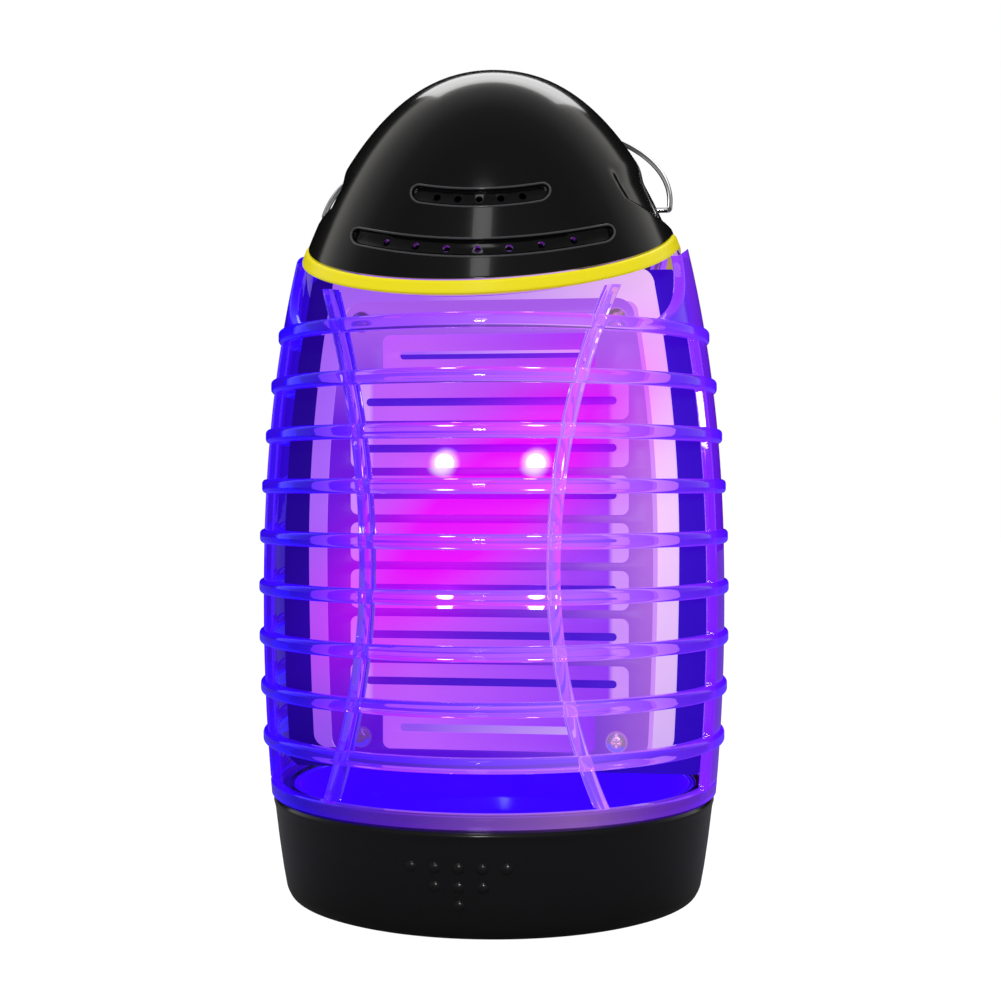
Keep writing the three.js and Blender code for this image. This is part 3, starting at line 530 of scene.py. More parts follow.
def colour_run(tree, place, stops):
    """A colour that runs through stops of (place, colour)."""
    ramp = add_node(tree, "ShaderNodeValToRGB", {"Fac": place})
    elements = ramp.color_ramp.elements
    while len(elements) < len(stops):
        elements.new(0.5)
    for element, (where, tone) in zip(elements, stops):
        element.position = where
        element.color = (*tone, 1.0)
    return ramp.outputs["Color"]


def paint(name, base, gloss, variation=0.06, scale=900.0, height=0.15, shade=0.8, **sockets):
    """An opaque moulded or metal finish with a slightly uneven gloss and colour."""
    found = bpy.data.materials.get(name)
    if found:
        return found
    material, tree, shader = surface(name, gloss, **sockets)
    mask = with_grain(tree, shader, gloss, variation, scale, height)
    darker = tuple(c * shade for c in base)
    tree.links.new(blended(tree, mask, darker, base), shader.inputs["Base Color"])
    return material


def lit_paint(name, left, right, streak, gloss, foot=0.6, bias=1.0, ends=None,
              diffuse=0.3, glow=0.85):
    """A core part with the violet light painted into its colour and glow. Its painted light runs from
    left to right, later with a higher bias, takes the streak's colour between the lights, and falls to
    the share foot at the base as painted shade."""
    found = bpy.data.materials.get(name)
    if found:
        return found
    material, tree, shader = surface(name, gloss, Emission_Strength=glow,
                                     Specular_IOR_Level=0.25)
    mask = with_grain(tree, shader, gloss, 0.08, 700.0, 0.12)
    fall = add_node(tree, "ShaderNodeGroup", node_tree=group_for(violet_fall))
    side = add_node(tree, "ShaderNodeMath", {0: fall.outputs["Side"], 1: bias}, operation="POWER")
    tone = blended(tree, side.outputs[0], left, right)
    if ends:
        tone = blended(tree, fall.outputs["Ends"], tone, ends)
    # Painted shade: the colour falls towards the foot of the core.
    low = blended(tree, fall.outputs["Foot"], (1.0, 1.0, 1.0), (foot, foot, 0.5 + 0.5 * foot))
    tone = multiplied(tree, tone, low)
    tone = multiplied(tree, tone, blended(tree, mask, (0.90, 0.90, 0.95), (1.0, 1.0, 1.0)))
    # Painted light: the streak between the lights and the halo round the upper lights, sent out as glow.
    tone = blended(tree, fall.outputs["Streak"], tone, streak)
    lit = blended(tree, fall.outputs["Halo"], tone, (1.0, 0.75, 1.0))
    tree.links.new(lit, shader.inputs["Emission Color"])
    tree.links.new(multiplied(tree, lit, (diffuse,) * 3), shader.inputs["Base Color"])
    return material


def clear_guard():
    """The clear guard with the violet light painted into its tint and glow: blue at the left, lilac at
    the right, deep at its ends.
    """
    material, tree, shader = surface("clear_guard_plastic", 0.03, IOR=1.45, Transmission_Weight=1.0,
                                     Emission_Strength=0.2)
    with_grain(tree, shader, 0.03, 0.03, 350.0, 0.05)
    place = add_node(tree, "ShaderNodeTexCoord")
    parts = add_node(tree, "ShaderNodeSeparateXYZ", {0: place.outputs["Object"]})
    across = add_node(tree, "ShaderNodeMapRange", {"Value": parts.outputs["X"], "From Min": -0.064,
                                                   "From Max": 0.064})
    # Painted light: the tint and the glow follow X, as the violet light falls on the guard.
    painted_light_tint = colour_run(tree, across.outputs[0], (
        (0.00, (0.10, 0.01, 0.95)), (0.14, (0.13, 0.03, 0.98)), (0.30, (0.68, 0.56, 1.0)),
        (0.75, (0.84, 0.70, 1.0)), (0.90, (0.42, 0.20, 0.98)), (1.00, (0.20, 0.02, 0.92))))
    glow = colour_run(tree, across.outputs[0], (
        (0.00, (0.10, 0.008, 1.0)), (0.16, (0.05, 0.0, 1.0)), (0.40, (0.20, 0.04, 0.85)),
        (0.72, (0.55, 0.24, 0.90)), (0.86, (0.34, 0.08, 0.95)), (1.00, (0.26, 0.01, 1.0))))
    tree.links.new(painted_light_tint, shader.inputs["Base Color"])
    tree.links.new(glow, shader.inputs["Emission Color"])
    return material


# ------------------------------------------------------------------ shared outlines

def dome_radius(head, z, inset=0.0):
    """The dome's radius at a height, for the outer face or for a face set in."""
    rise = min(1.0, max(0.0, (z - head.foot_z) / (HEAD_TOP_Z - inset - head.foot_z)))
    fullness = max(0.0, 1 - rise ** head.rise_power)
    return (head.foot_radius - inset) * fullness ** (1 / head.round_power)


def arch_height(head, y, peak, soft):
    """Height of an arched lower edge at a distance from the middle plane."""
    return peak - head.arch_slope * math.hypot(y, soft)


def edge_on_dome(head, angle, peak, soft, inset=0.0):
    """Height where an arched edge meets the dome at an angle from the front."""
    z = peak - 0.01
    for _ in range(30):
        z = arch_height(head, dome_radius(head, z, inset) * math.cos(angle), peak, soft)
    return z


def guard_radius(guard, z):
    """The guard's outer radius at a height."""
    if z > guard.widest_z:
        rise = (z - guard.widest_z) / guard.top_span
        return guard.radius - guard.top_narrowing * rise ** BARREL_POWER
    return guard.radius - guard.foot_narrowing * ((guard.widest_z - z) / guard.foot_span) ** 2


def core_half_width(core, z):
    """The core's half width at a height."""
    taper = core.top_taper if z > core.widest_z else core.foot_taper
    return core.half_width - taper * ((z - core.widest_z) / core.taper_span) ** 2


def barrel_loop(half_width, bottom, top, radius, rows=40):
    """A barrel-sided outline with round corners, as [x, z] points."""
    side = [(half_width(z), z) for z in np.linspace(bottom + radius, top - radius, rows)]
    low = [(side[0][0] - radius + radius * math.cos(a), side[0][1] + radius * math.sin(a))
           for a in np.linspace(-math.pi / 2, 0, 8)[:-1]]
    high = [(side[-1][0] - radius + radius * math.cos(a), side[-1][1] + radius * math.sin(a))
            for a in np.linspace(0, math.pi / 2, 8)[1:]]
    right = low + side + high
    return right + [(-x, z) for x, z in reversed(right)]


def step_up(value, start, end):
    """Smooth step from 0 at start to 1 at end."""
    t = min(1.0, max(0.0, (value - start) / (end - start)))
    return t * t * (3 - 2 * t)


# ------------------------------------------------------------------ head

VENTS = (  # half length, middle height, sag, groove height, holes, hole pitch: all in millimetres
    (17.4, 182.9, 2.3, 4.6, 5, 5.5),
    (33.4, 169.8, 5.6, 4.4, 7, 8.0),
)
LIP_RADIUS = 0.3 * MM           # of the fine raised lip round each groove
LIP_OUTSIDE = 0.15 * MM         # from the groove's nominal edge to the lip's middle
LIP_SUNK = 0.1 * MM             # from the dome's surface in to the lip's middle
PANEL_FACE_Y = 46.5 * MM
PANEL_HALF_WIDTH = 21 * MM
PANEL_BOTTOM_Z = 172 * MM
PANEL_TOP_Z = 186 * MM
CONTROL_X = 9 * MM
CONTROL_Z = 178 * MM


def pocket_mask(y, z):
    """1 inside a side pocket, 0 outside. Its ledge is crisp and its other edges are soft."""
    ledge = 181 + 5 * (y / MM / 27) ** 2
    roof = 199 - 4 * (y / MM / 25) ** 2
    above = step_up(z / MM, ledge - 0.3, ledge + 0.25)
    below = 1 - step_up(z / MM, roof - 6, roof)
    beside = 1 - step_up(abs(y / MM), 24.5, 27)
    return above * below * beside


def head_surface(head, angle, z):
    """A point of the head shell's outer face, with its side pockets and rear panel."""
    radius = dome_radius(head, z)
    x, y = radius * math.sin(angle), -radius * math.cos(angle)
    radius -= head.pocket_depth * pocket_mask(y, z) * step_up(abs(x), 20 * MM, 30 * MM)
    if y > PANEL_FACE_Y:
        inside = (step_up(z, PANEL_BOTTOM_Z - 0.4 * MM, PANEL_BOTTOM_Z + 0.4 * MM)
                  * (1 - step_up(z, PANEL_TOP_Z - 0.4 * MM, PANEL_TOP_Z + 0.4 * MM))
                  * (1 - step_up(abs(x), PANEL_HALF_WIDTH - 0.4 * MM, PANEL_HALF_WIDTH + 0.4 * MM)))
        flat = PANEL_FACE_Y / max(0.5, -math.cos(angle))
        radius += (flat - radius) * inside
    return (radius * math.sin(angle), -radius * math.cos(angle), z)


def head_columns():
    """Angles round the head, closer together across the vents and the panel."""
    fine_front = np.radians(np.linspace(-46, 46, 132))
    side = np.radians(np.linspace(47, 134, 56))
    rear = np.radians(np.linspace(135, 225, 84))
    other = np.radians(np.linspace(226, 313, 56))
    return np.concatenate([fine_front, side, rear, other])


def slot_loop(slot_end, reach, straight_points, bend_points):
    """Points round a slot with half-round ends, as (x, height over its middle line)."""
    flat = np.linspace(-slot_end, slot_end, straight_points)
    turn = np.linspace(-math.pi / 2, math.pi / 2, bend_points)[1:-1]
    loop = [(x, -reach) for x in flat]
    loop += [(slot_end + reach * math.cos(a), reach * math.sin(a)) for a in turn]
    loop += [(x, reach) for x in reversed(flat)]
    loop += [(-slot_end - reach * math.cos(a), -reach * math.sin(a)) for a in turn]
    return loop


def groove_mesh(head, vent):
    """A bevelled tool for one vent groove: a sagging slot with round ends that reaches from
    its floor, a vent's depth inside the dome, to well outside the dome."""
    half, middle, sag, height = (v * MM for v in vent[:4])
    levels = ((-head.vent_depth, -0.75), (-head.vent_depth + 0.45 * MM, -0.3), (-0.55 * MM, -0.15),
              (-0.15 * MM, 0.0), (0.25 * MM, 0.3), (3 * MM, 0.3))
    slot_end = half - height / 2
    rows = []
    for depth, grow in levels:
        row = []
        for x, lift in slot_loop(slot_end, height / 2 + grow * MM, 33, 13):
            z = middle + sag * (x / half) ** 2 + lift
            radius = dome_radius(head, z) + depth
            row.append((x, -math.sqrt(radius ** 2 - x ** 2), z))
        rows.append(row)
    tidy = bmesh.new()
    mesh = loft("groove", rows)
    mesh.transform(Matrix.Rotation(head.vent_turn, 4, "Z"))
    tidy.from_mesh(mesh)
    bmesh.ops.triangulate(tidy, faces=[f for f in tidy.faces if len(f.verts) > 4])
    bmesh.ops.recalc_face_normals(tidy, faces=tidy.faces)
    tidy.to_mesh(mesh)
    tidy.free()
    return mesh


def lip_mesh(head, vent):
    """A fine raised lip along a vent groove's edge."""
    half, middle, sag, height = (v * MM for v in vent[:4])
    points = []
    for x, lift in slot_loop(half - height / 2, height / 2 + LIP_OUTSIDE, 41, 15):
        z = middle + sag * (x / half) ** 2 + lift
        radius = dome_radius(head, z) - LIP_SUNK
        points.append(Vector((x, -math.sqrt(radius ** 2 - x ** 2), z)))
    rows = []
    for i, point in enumerate(points):
        along = (points[(i + 1) % len(points)] - points[i - 1]).normalized()
        out = Vector((point.x, point.y, 0)).normalized()
        across = along.cross(out).normalized()
        rows.append([point + LIP_RADIUS * (out * math.cos(a) + across * math.sin(a))
                     for a in np.arange(10) * 2 * np.pi / 10])
    mesh = loft("vent_lip", rows, closed_rows=True)
    mesh.transform(Matrix.Rotation(head.vent_turn, 4, "Z"))
    return mesh


def hole_mesh(holes):
    """A tool of round bars, from (middle, axis, radius, half length)."""
    bars = bmesh.new()
    for middle, axis, radius, half in holes:
        turn = Vector((0, 0, 1)).rotation_difference(axis).to_matrix().to_4x4()
        place = Matrix.Translation(middle) @ turn
        bmesh.ops.create_cone(bars, cap_ends=True, segments=20, radius1=radius, radius2=radius,
                              depth=2 * half, matrix=place)
    mesh = bpy.data.meshes.new("hole_tool")
    bars.to_mesh(mesh)
    bars.free()
    return mesh


def enclosed_volume(mesh):
    """The volume that a closed mesh holds."""
    solid = bmesh.new()
    solid.from_mesh(mesh)
    volume = solid.calc_volume(signed=True)
    solid.free()
    return volume


def cut_away(shell, tool_mesh):
    """Subtracts a tool mesh from an object's mesh."""
    tool = bpy.data.objects.new("cutting_tool", tool_mesh)
    bpy.context.scene.collection.objects.link(tool)
    cut = shell.modifiers.new("cut", "BOOLEAN")
    cut.object = tool
    cut.solver = "MANIFOLD"
    graph = bpy.context.evaluated_depsgraph_get()
    mesh = bpy.data.meshes.new_from_object(shell.evaluated_get(graph))
    shell.modifiers.clear()
    old, shell.data = shell.data, mesh
    before, after = enclosed_volume(old), enclosed_volume(mesh)
    bpy.data.meshes.remove(old)
    bpy.data.objects.remove(tool)
    if not 0 < after < before:
        raise RuntimeError("a cut took nothing away from the shell")


class OBJECT_OT_zapper_head(bpy.types.Operator):
    """Gloss black domed head shell with vents, side pockets and a rear panel"""
    bl_idname = "object.zapper_head"
    bl_label = "Head shell"

    def execute(self, context):
        head = context.scene.zapper_head
        columns = head_columns()
        rows = []
        for angle in columns:
            foot = edge_on_dome(head, angle, head.edge_peak, head.edge_soft)
            knee = 188 * MM
            heights = [foot, foot + 0.12 * MM, foot + 0.35 * MM]
            heights += list(np.linspace(foot + 0.6 * MM, knee, 73))
            heights += list(np.linspace(knee, 200 * MM, 27)[1:])
            crown = np.linspace(0, 1, 24)[1:]
            heights += [200 * MM + (HEAD_TOP_Z - 200 * MM) * math.sin(t * math.pi / 2) for t in crown]
            outer = [head_surface(head, angle, z) for z in heights]
            x, y, z = outer[0]
            outer[0] = (x * 0.9935, y * 0.9935, z)
            x, y, z = outer[1]
            outer[1] = (x * 0.9985, y * 0.9985, z)
            top = HEAD_TOP_Z - head.wall
            inner_foot = edge_on_dome(head, angle, head.edge_peak, head.edge_soft, head.wall)
            inner = []
            for t in np.linspace(1, 0, 22):
                height = inner_foot + (top - inner_foot) * math.sin(t * math.pi / 2)
                radius = min(dome_radius(head, height, head.wall), self.inner_limit(head, angle, height))
                inner.append((radius * math.sin(angle), -radius * math.cos(angle), height))
            rows.append(outer + inner)
        mesh = loft("head_shell", rows, closed_rows=True)
        shell = smooth_object("head_shell", mesh, [paint(
            "head_gloss_black", tuple(context.scene.zapper_colours.head_black), 0.16, variation=0.05,
            scale=500.0, height=0.03, Coat_Weight=0.5, Coat_Roughness=0.05)])
        for vent in VENTS:
            cut_away(shell, groove_mesh(head, vent))
        cut_away(shell, hole_mesh(self.holes(head)))
        gloss = shell.data.materials[0]
        # The vent lips' lighter grey is a painted highlight along the grooves' edges.
        painted_lip_highlight = paint("head_lip_painted_highlight", (0.10, 0.10, 0.105), 0.12, variation=0.3, scale=300.0,
                         height=0.02, Specular_IOR_Level=0.9)
        shell_faces = len(shell.data.polygons)
        shell.data = joined("head_shell", [shell.data.copy(),
                                           *[lip_mesh(head, vent) for vent in VENTS]])
        for material in (gloss, painted_lip_highlight):
            shell.data.materials.append(material)
        for face in shell.data.polygons[shell_faces:]:
            face.material_index = 1
        shell.data.shade_smooth()
        shell.data.set_sharp_from_angle(angle=math.radians(50))
        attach(shell, GUARD_BODY)
        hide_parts("dome_cap")
        return {"FINISHED"}

    @staticmethod
    def inner_limit(head, angle, z):
        """The inner face stays a wall's thickness behind the rear panel."""
        facing = -math.cos(angle)
        reach = PANEL_HALF_WIDTH + 3 * MM
        if facing < 0.5 or not PANEL_BOTTOM_Z - 2 * MM < z < PANEL_TOP_Z + 3 * MM:
            return 1.0
        if abs(math.sin(angle)) * PANEL_FACE_Y > reach:
            return 1.0
        return (PANEL_FACE_Y - 3 * MM) / facing

    @staticmethod
    def holes(head):
        """Vent holes, bail holes and the two holes of the rear panel."""
        holes = []
        for half, middle, sag, _, count, pitch in VENTS:
            for i in range(count):
                x = (i - (count - 1) / 2) * pitch
                z = (middle + sag * (x / half) ** 2) * MM
                radius = dome_radius(head, z)
                angle = math.asin(x * MM / radius) + head.vent_turn
                out = Vector((math.sin(angle), -math.cos(angle), 0.25)).normalized()
                middle_point = Vector((radius * math.sin(angle), -radius * math.cos(angle), z))
                holes.append((middle_point, out, 0.95 * MM, 5 * MM))
        for side in (-1, 1):
            pivot = Vector((side * 46 * MM, 0, head.pivot_z))
            holes.append((pivot, Vector((1, 0, 0)), 1.15 * MM, 8 * MM))
            control = Vector((side * CONTROL_X, PANEL_FACE_Y, CONTROL_Z))
            holes.append((control, Vector((0, 1, 0)), (4.6 if side > 0 else 4.3) * MM, 8 * MM))
        return holes


class OBJECT_OT_zapper_accent_ring(bpy.types.Operator):
    """Yellow accent ring along the head's arched lower edge"""
    bl_idname = "object.zapper_accent_ring"
    bl_label = "Accent ring"

    def execute(self, context):
        head = context.scene.zapper_head
        gap = 0.3 * MM
        rows = []
        for angle in np.arange(288) * 2 * np.pi / 288:
            low = edge_on_dome(head, angle, head.ring_peak, head.ring_soft)
            high = edge_on_dome(head, angle, head.edge_peak - gap, head.edge_soft)
            proud, deep = head.ring_proud, head.wall - head.ring_proud
            soft = 0.55 * MM
            section = []
            for part in np.linspace(0, 1, 7):
                lift = low + soft + (high - low - 2 * soft) * part
                section.append((dome_radius(head, lift) + proud, lift))
            section.append((dome_radius(head, high - 0.15 * MM) + proud - 0.16 * MM, high - 0.15 * MM))
            section.append((dome_radius(head, high) + proud - soft, high))
            section.append((dome_radius(head, high) - deep, high))
            section.append((dome_radius(head, low) - deep, low))
            section.append((dome_radius(head, low) + proud - soft, low))
            section.append((dome_radius(head, low + 0.15 * MM) + proud - 0.16 * MM, low + 0.15 * MM))
            rows.append([(r * math.sin(angle), -r * math.cos(angle), z) for r, z in section])
        mesh = loft("accent_ring", rows, closed_rows=True)
        # The ring's yellow is its own colour; its glow is painted light that brightens it.
        ring = smooth_object("accent_ring", mesh, [paint(
            "accent_yellow_gloss_painted_glow", tuple(context.scene.zapper_colours.accent_yellow), 0.28, shade=0.94,
            height=0.05, Emission_Color=(0.9, 0.78, 0.0, 1.0), Emission_Strength=0.32)])
        ring.data.set_sharp_from_angle(angle=math.radians(60))
        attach(ring, GUARD_BODY)
        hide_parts("trim_ring")
        return {"FINISHED"}


class OBJECT_OT_zapper_bail(bpy.types.Operator):
    """Thin chromed wire bail, folded back on its pivots"""
    bl_idname = "object.zapper_bail"
    bl_label = "Wire bail"

    def execute(self, context):
        head = context.scene.zapper_head
        loop = head.bail_radius
        half = [(41.5 * MM, 0.0), (loop - 0.2 * MM, 0.0), (loop, 0.8 * MM), (loop, head.bail_leg)]
        corners = rounded([(x, 0, w) for x, w in half], 1.2 * MM, 6)
        arc = [(loop * math.cos(a), 0, head.bail_leg + loop * math.sin(a))
               for a in np.linspace(0, math.pi / 2, 60)]
        right = [Vector(p) for p in corners + arc[1:]]
        left = [Vector((-p.x, 0, p.z)) for p in reversed(right[:-1])]
        turn = Matrix.Rotation(head.bail_rest - math.pi / 2, 4, "X")
        points = [turn @ p + Vector((0, 0, head.pivot_z)) for p in right + left]
        route = bpy.data.meshes.new("bail_route")
        route.from_pydata([tuple(p) for p in points], [(i, i + 1) for i in range(len(points) - 1)], [])
        tree, given, output = node_tree("wire_along_path", [("Wire Radius", "NodeSocketFloat", 0.00075),
                                                            ("Material", "NodeSocketMaterial", None)])
        curve = add_node(tree, "GeometryNodeMeshToCurve", {"Mesh": given.outputs["Geometry"]})
        ring = add_node(tree, "GeometryNodeCurvePrimitiveCircle",
                        {"Resolution": 20, "Radius": given.outputs["Wire Radius"]})
        wire = add_node(tree, "GeometryNodeCurveToMesh",
                        {"Curve": curve.outputs[0], "Profile Curve": ring.outputs[0], "Fill Caps": True})
        finish_tree(tree, wire.outputs[0], given.outputs["Material"], output)
        chrome = paint("bail_chrome", (0.72, 0.73, 0.75), 0.09, variation=0.06, shade=0.9, height=0.04,
                       Metallic=1.0)
        mesh = grown("wire_bail", tree, route, {"Wire Radius": head.bail_wire, "Material": chrome})
        bail = smooth_object("wire_bail", mesh, [chrome])
        bail.data.set_sharp_from_angle(angle=math.radians(50))
        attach(bail, "bail")
        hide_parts("bail")
        return {"FINISHED"}


class OBJECT_OT_zapper_controls(bpy.types.Operator):
    """Power button and power inlet on the rear panel"""
    bl_idname = "object.zapper_controls"
    bl_label = "Button and inlet"

    def execute(self, context):
        colours = context.scene.zapper_colours
        face = PANEL_FACE_Y
        cap = rounded([(0, face + 2.3 * MM), (2.4 * MM, face + 2.35 * MM), (4.2 * MM, face + 2.6 * MM),
                       (4.2 * MM, face - 3.4 * MM), (5.2 * MM, face - 3.4 * MM),
                       (5.2 * MM, face - 5.1 * MM), (0, face - 5.1 * MM)], 0.5 * MM)
        self.place("button_cap", turned("button_cap", cap, 72), CONTROL_X, paint(
            "button_yellow", tuple(colours.accent_yellow), 0.35, height=0.1, shade=0.92),
            "power_button", "power_button", "yellow")
        nose = rounded([(2.9 * MM, face + 0.6 * MM), (3.9 * MM, face + 0.6 * MM),
                        (3.9 * MM, face - 4.3 * MM), (4.4 * MM, face - 4.3 * MM),
                        (4.4 * MM, face - 12.3 * MM), (0, face - 12.3 * MM)], 0.25 * MM)
        well = rounded([(0, face - 1.2 * MM), (0.95 * MM, face - 1.6 * MM), (0.95 * MM, face - 8.0 * MM),
                        (2.9 * MM, face - 8.0 * MM), (2.9 * MM, face + 0.6 * MM)], 0.2 * MM)
        self.place("inlet_socket", turned("inlet_socket", well[:-1] + nose, 72), -CONTROL_X, paint(
            "inlet_satin_black", tuple(colours.base_black), 0.42, height=0.2),
            GUARD_BODY, "power_inlet", "black_satin")
        return {"FINISHED"}

    @staticmethod
    def place(name, mesh, x, material, body, node, slot):
        """Lays a turned mesh on the panel's axis at x."""
        mesh.transform(Matrix(((1, 0, 0, x), (0, 0, 1, 0), (0, -1, 0, CONTROL_Z), (0, 0, 0, 1))))
        made = smooth_object(name, mesh, [material])
        made.data.set_sharp_from_angle(angle=math.radians(40))
        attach(made, body)
        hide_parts(node)


# ------------------------------------------------------------------ guard

def ring_stack(guard, material):
    """All the guard's rings: one ring section swept round, copied up the barrel."""
    tree, given, output = node_tree(
        "ring_stack",
        [("Ring Radius", "NodeSocketFloat", 0.06), ("Ring Depth", "NodeSocketFloat", 0.0025),
         ("Ring Height", "NodeSocketFloat", 0.0035), ("Material", "NodeSocketMaterial", None)])
    # Each point carries the ring's radius, as a share of the widest ring's, in its X.
    hoop = add_node(tree, "GeometryNodeCurvePrimitiveCircle",
                    {"Resolution": 200, "Radius": given.outputs["Ring Radius"]})
    section = add_node(tree, "GeometryNodeCurvePrimitiveQuadrilateral",
                       {"Width": given.outputs["Ring Depth"], "Height": given.outputs["Ring Height"]})
    softened = add_node(tree, "GeometryNodeFilletCurve",
                        {"Curve": section.outputs[0], "Radius": 0.0012, "Count": 6}, mode="POLY")
    ring = add_node(tree, "GeometryNodeCurveToMesh", {"Curve": hoop.outputs[0],
                                                      "Profile Curve": softened.outputs[0]})
    place = add_node(tree, "GeometryNodeInputPosition")
    parts = add_node(tree, "ShaderNodeSeparateXYZ", {0: place.outputs[0]})
    share = add_node(tree, "ShaderNodeCombineXYZ",
                     {0: parts.outputs["X"], 1: parts.outputs["X"], 2: 1.0})
    stored = add_node(tree, "GeometryNodeStoreNamedAttribute",
                      {"Geometry": given.outputs["Geometry"], "Name": "share",
                       "Value": share.outputs[0]},
                      data_type="FLOAT_VECTOR", domain="POINT")
    height = add_node(tree, "ShaderNodeCombineXYZ", {2: parts.outputs["Z"]})
    centred = add_node(tree, "GeometryNodeSetPosition", {"Geometry": stored.outputs[0],
                                                         "Position": height.outputs[0]})
    cloud = add_node(tree, "GeometryNodeMeshToPoints", {"Mesh": centred.outputs[0]})
    share_read = add_node(tree, "GeometryNodeInputNamedAttribute", {"Name": "share"},
                          data_type="FLOAT_VECTOR")
    copies = add_node(tree, "GeometryNodeInstanceOnPoints",
                      {"Points": cloud.outputs[0], "Instance": ring.outputs[0],
                       "Scale": share_read.outputs[0]})
    finish_tree(tree, copies.outputs[0], given.outputs["Material"], output)
    middle = [guard_radius(guard, z) + guard.ring_proud - guard.ring_depth / 2
              for z in ring_heights(guard)]
    widest = max(middle)
    places = [(r / widest, 0, z) for r, z in zip(middle, ring_heights(guard))]
    return grown("ring_stack", tree, points_mesh("ring_places", places),
                 {"Ring Radius": widest, "Ring Depth": guard.ring_depth,
                  "Ring Height": guard.ring_height, "Material": material})


def ring_heights(guard):
    """Heights of the rings' middles, from the top."""
    return [guard.ring_top_z - i * guard.ring_pitch for i in range(guard.ring_count)]


def rib_mesh(guard, head, side):
    """One curved rib of the front face, from under the accent ring to the bottom rim."""
    low = 32.3 * MM
    rows = []
    for step in np.linspace(0, 1, 70):
        high = arch_height(head, 45.6 * MM, head.ring_peak, head.ring_soft) - 0.3 * MM
        z = low + (high - low) * step
        flare = 2.65 if z > guard.waist_z else 3.2
        x = guard.waist_x + flare * (z - guard.waist_z) ** 2 + guard.rib_width / 2
        outer = guard_radius(guard, z) + 0.2 * MM
        middle = outer - guard.rib_depth / 2
        angle = math.asin(x / middle)
        out = Vector((side * math.sin(angle), -math.cos(angle), 0))
        along = Vector((out.y, -out.x, 0))
        centre = out * middle + Vector((0, 0, z))
        row = []
        for turn in np.arange(20) * 2 * np.pi / 20:
            c, s = math.cos(turn), math.sin(turn)
            across = math.copysign(abs(c) ** 0.55, c) * guard.rib_width / 2
            depth = math.copysign(abs(s) ** 0.55, s) * guard.rib_depth / 2
            row.append(centre + along * across + out * depth)
        rows.append(row)
    return loft("guard_rib", rows)


def pillar_mesh(guard, head, side):
    """One side pillar, a curved wall that widens into gussets above the top ring."""
    low, knee = 32.3 * MM, guard.ring_top_z
    levels = [(z, None) for z in np.linspace(low, knee - 0.2 * MM, 44)]
    levels += [(knee, t) for t in np.linspace(0, 1, 30)]
    slope = np.concatenate([[-1, -0.995, -0.975], np.linspace(-0.95, 0.95, 33), [0.975, 0.995, 1]])
    rows = []
    for z, above in levels:
        half = guard.pillar_half
        if above is not None:
            half += guard.gusset_reach * (1 - above) ** 2
        outer, inner = [], []
        for part in slope:
            y = half * part
            height = z
            if above is not None:
                top = arch_height(head, y, head.ring_peak, head.ring_soft) - 0.3 * MM
                height = knee + (top - knee) * above
            radius = guard_radius(guard, height)
            edge = 0.5 * MM * max(0.0, abs(part) - 0.95) / 0.05
            for ring, reach in ((outer, radius - edge), (inner, radius - guard.pillar_wall + edge)):
                x = math.sqrt(max(0.0, reach ** 2 - y ** 2))
                ring.append((side * x, y, height))
        rows.append(outer + inner[::-1])
    return loft("guard_pillar", rows)


def rim_mesh(guard, head):
    """The bottom rim and the rim nested inside the accent ring."""
    wall = guard.pillar_wall
    outer = [(guard_radius(guard, z), z) for z in (28.5 * MM, 29.3 * MM, 30.4 * MM, 31.7 * MM)]
    section = [(outer[0][0] - 0.3 * MM, 28.3 * MM), *outer, (outer[-1][0] - 0.3 * MM, 32 * MM),
               (outer[-1][0] - wall, 32 * MM), (outer[0][0] - wall, 28.3 * MM)]
    bottom = turned("bottom_rim", section + section[:1], 200)
    rows = []
    for angle in np.arange(144) * 2 * np.pi / 144:
        low = edge_on_dome(head, angle, head.ring_peak, head.ring_soft) + 0.1 * MM
        high = low + 3.4 * MM
        ring = [(dome_radius(head, low) - 3.5 * MM, low), (dome_radius(head, high) - 3.5 * MM, high),
                (dome_radius(head, high) - 5.5 * MM, high), (dome_radius(head, low) - 5.5 * MM, low)]
        rows.append([(r * math.sin(angle), -r * math.cos(angle), z) for r, z in ring])
    return [bottom, loft("top_rim", rows, closed_rows=True)]


class OBJECT_OT_zapper_guard(bpy.types.Operator):
    """Clear guard: rings, curved ribs, side pillars and rims in one moulding"""
    bl_idname = "object.zapper_guard"
    bl_label = "Clear guard"

    def execute(self, context):
        guard, head = context.scene.zapper_guard, context.scene.zapper_head
        plastic = clear_guard()
        pieces = [ring_stack(guard, plastic), *rim_mesh(guard, head)]
        for side in (-1, 1):
            rib = rib_mesh(guard, head, side)
            pieces += [rear_copy(rib), rib, pillar_mesh(guard, head, side)]
        made = smooth_object("ring_guard", joined("ring_guard", pieces), [plastic])
        made.data.set_sharp_from_angle(angle=math.radians(40))
        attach(made, GUARD_BODY)
        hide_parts(*[f"guard_ring_{i + 1}" for i in range(guard.ring_count)],
                    *[f"guard_rib_{face}_{side}" for face in ("front", "rear")
                      for side in ("left", "right")],
                    "guard_pillar_left", "guard_pillar_right", "guard_top_rim", "guard_bottom_rim")
        return {"FINISHED"}


# ------------------------------------------------------------------ core

def lit_white(colours):
    """White plastic of the core in the violet light."""
    return lit_paint("core_white_in_violet_light", (0.42, 0.14, 0.92), (1.0, 0.68, 1.0),
                     tuple(colours.magenta), 0.4, foot=0.72)


def lit_sheet(colours):
    """The slotted inner plate in the violet light, with paler painted light on its ends beyond the
    lights.
    """
    return lit_paint("slot_sheet_in_violet_light", (0.58, 0.13, 0.96), (0.28, 0.03, 0.92),
                     tuple(colours.magenta), 0.35, foot=0.9, ends=(0.70, 0.33, 0.95))


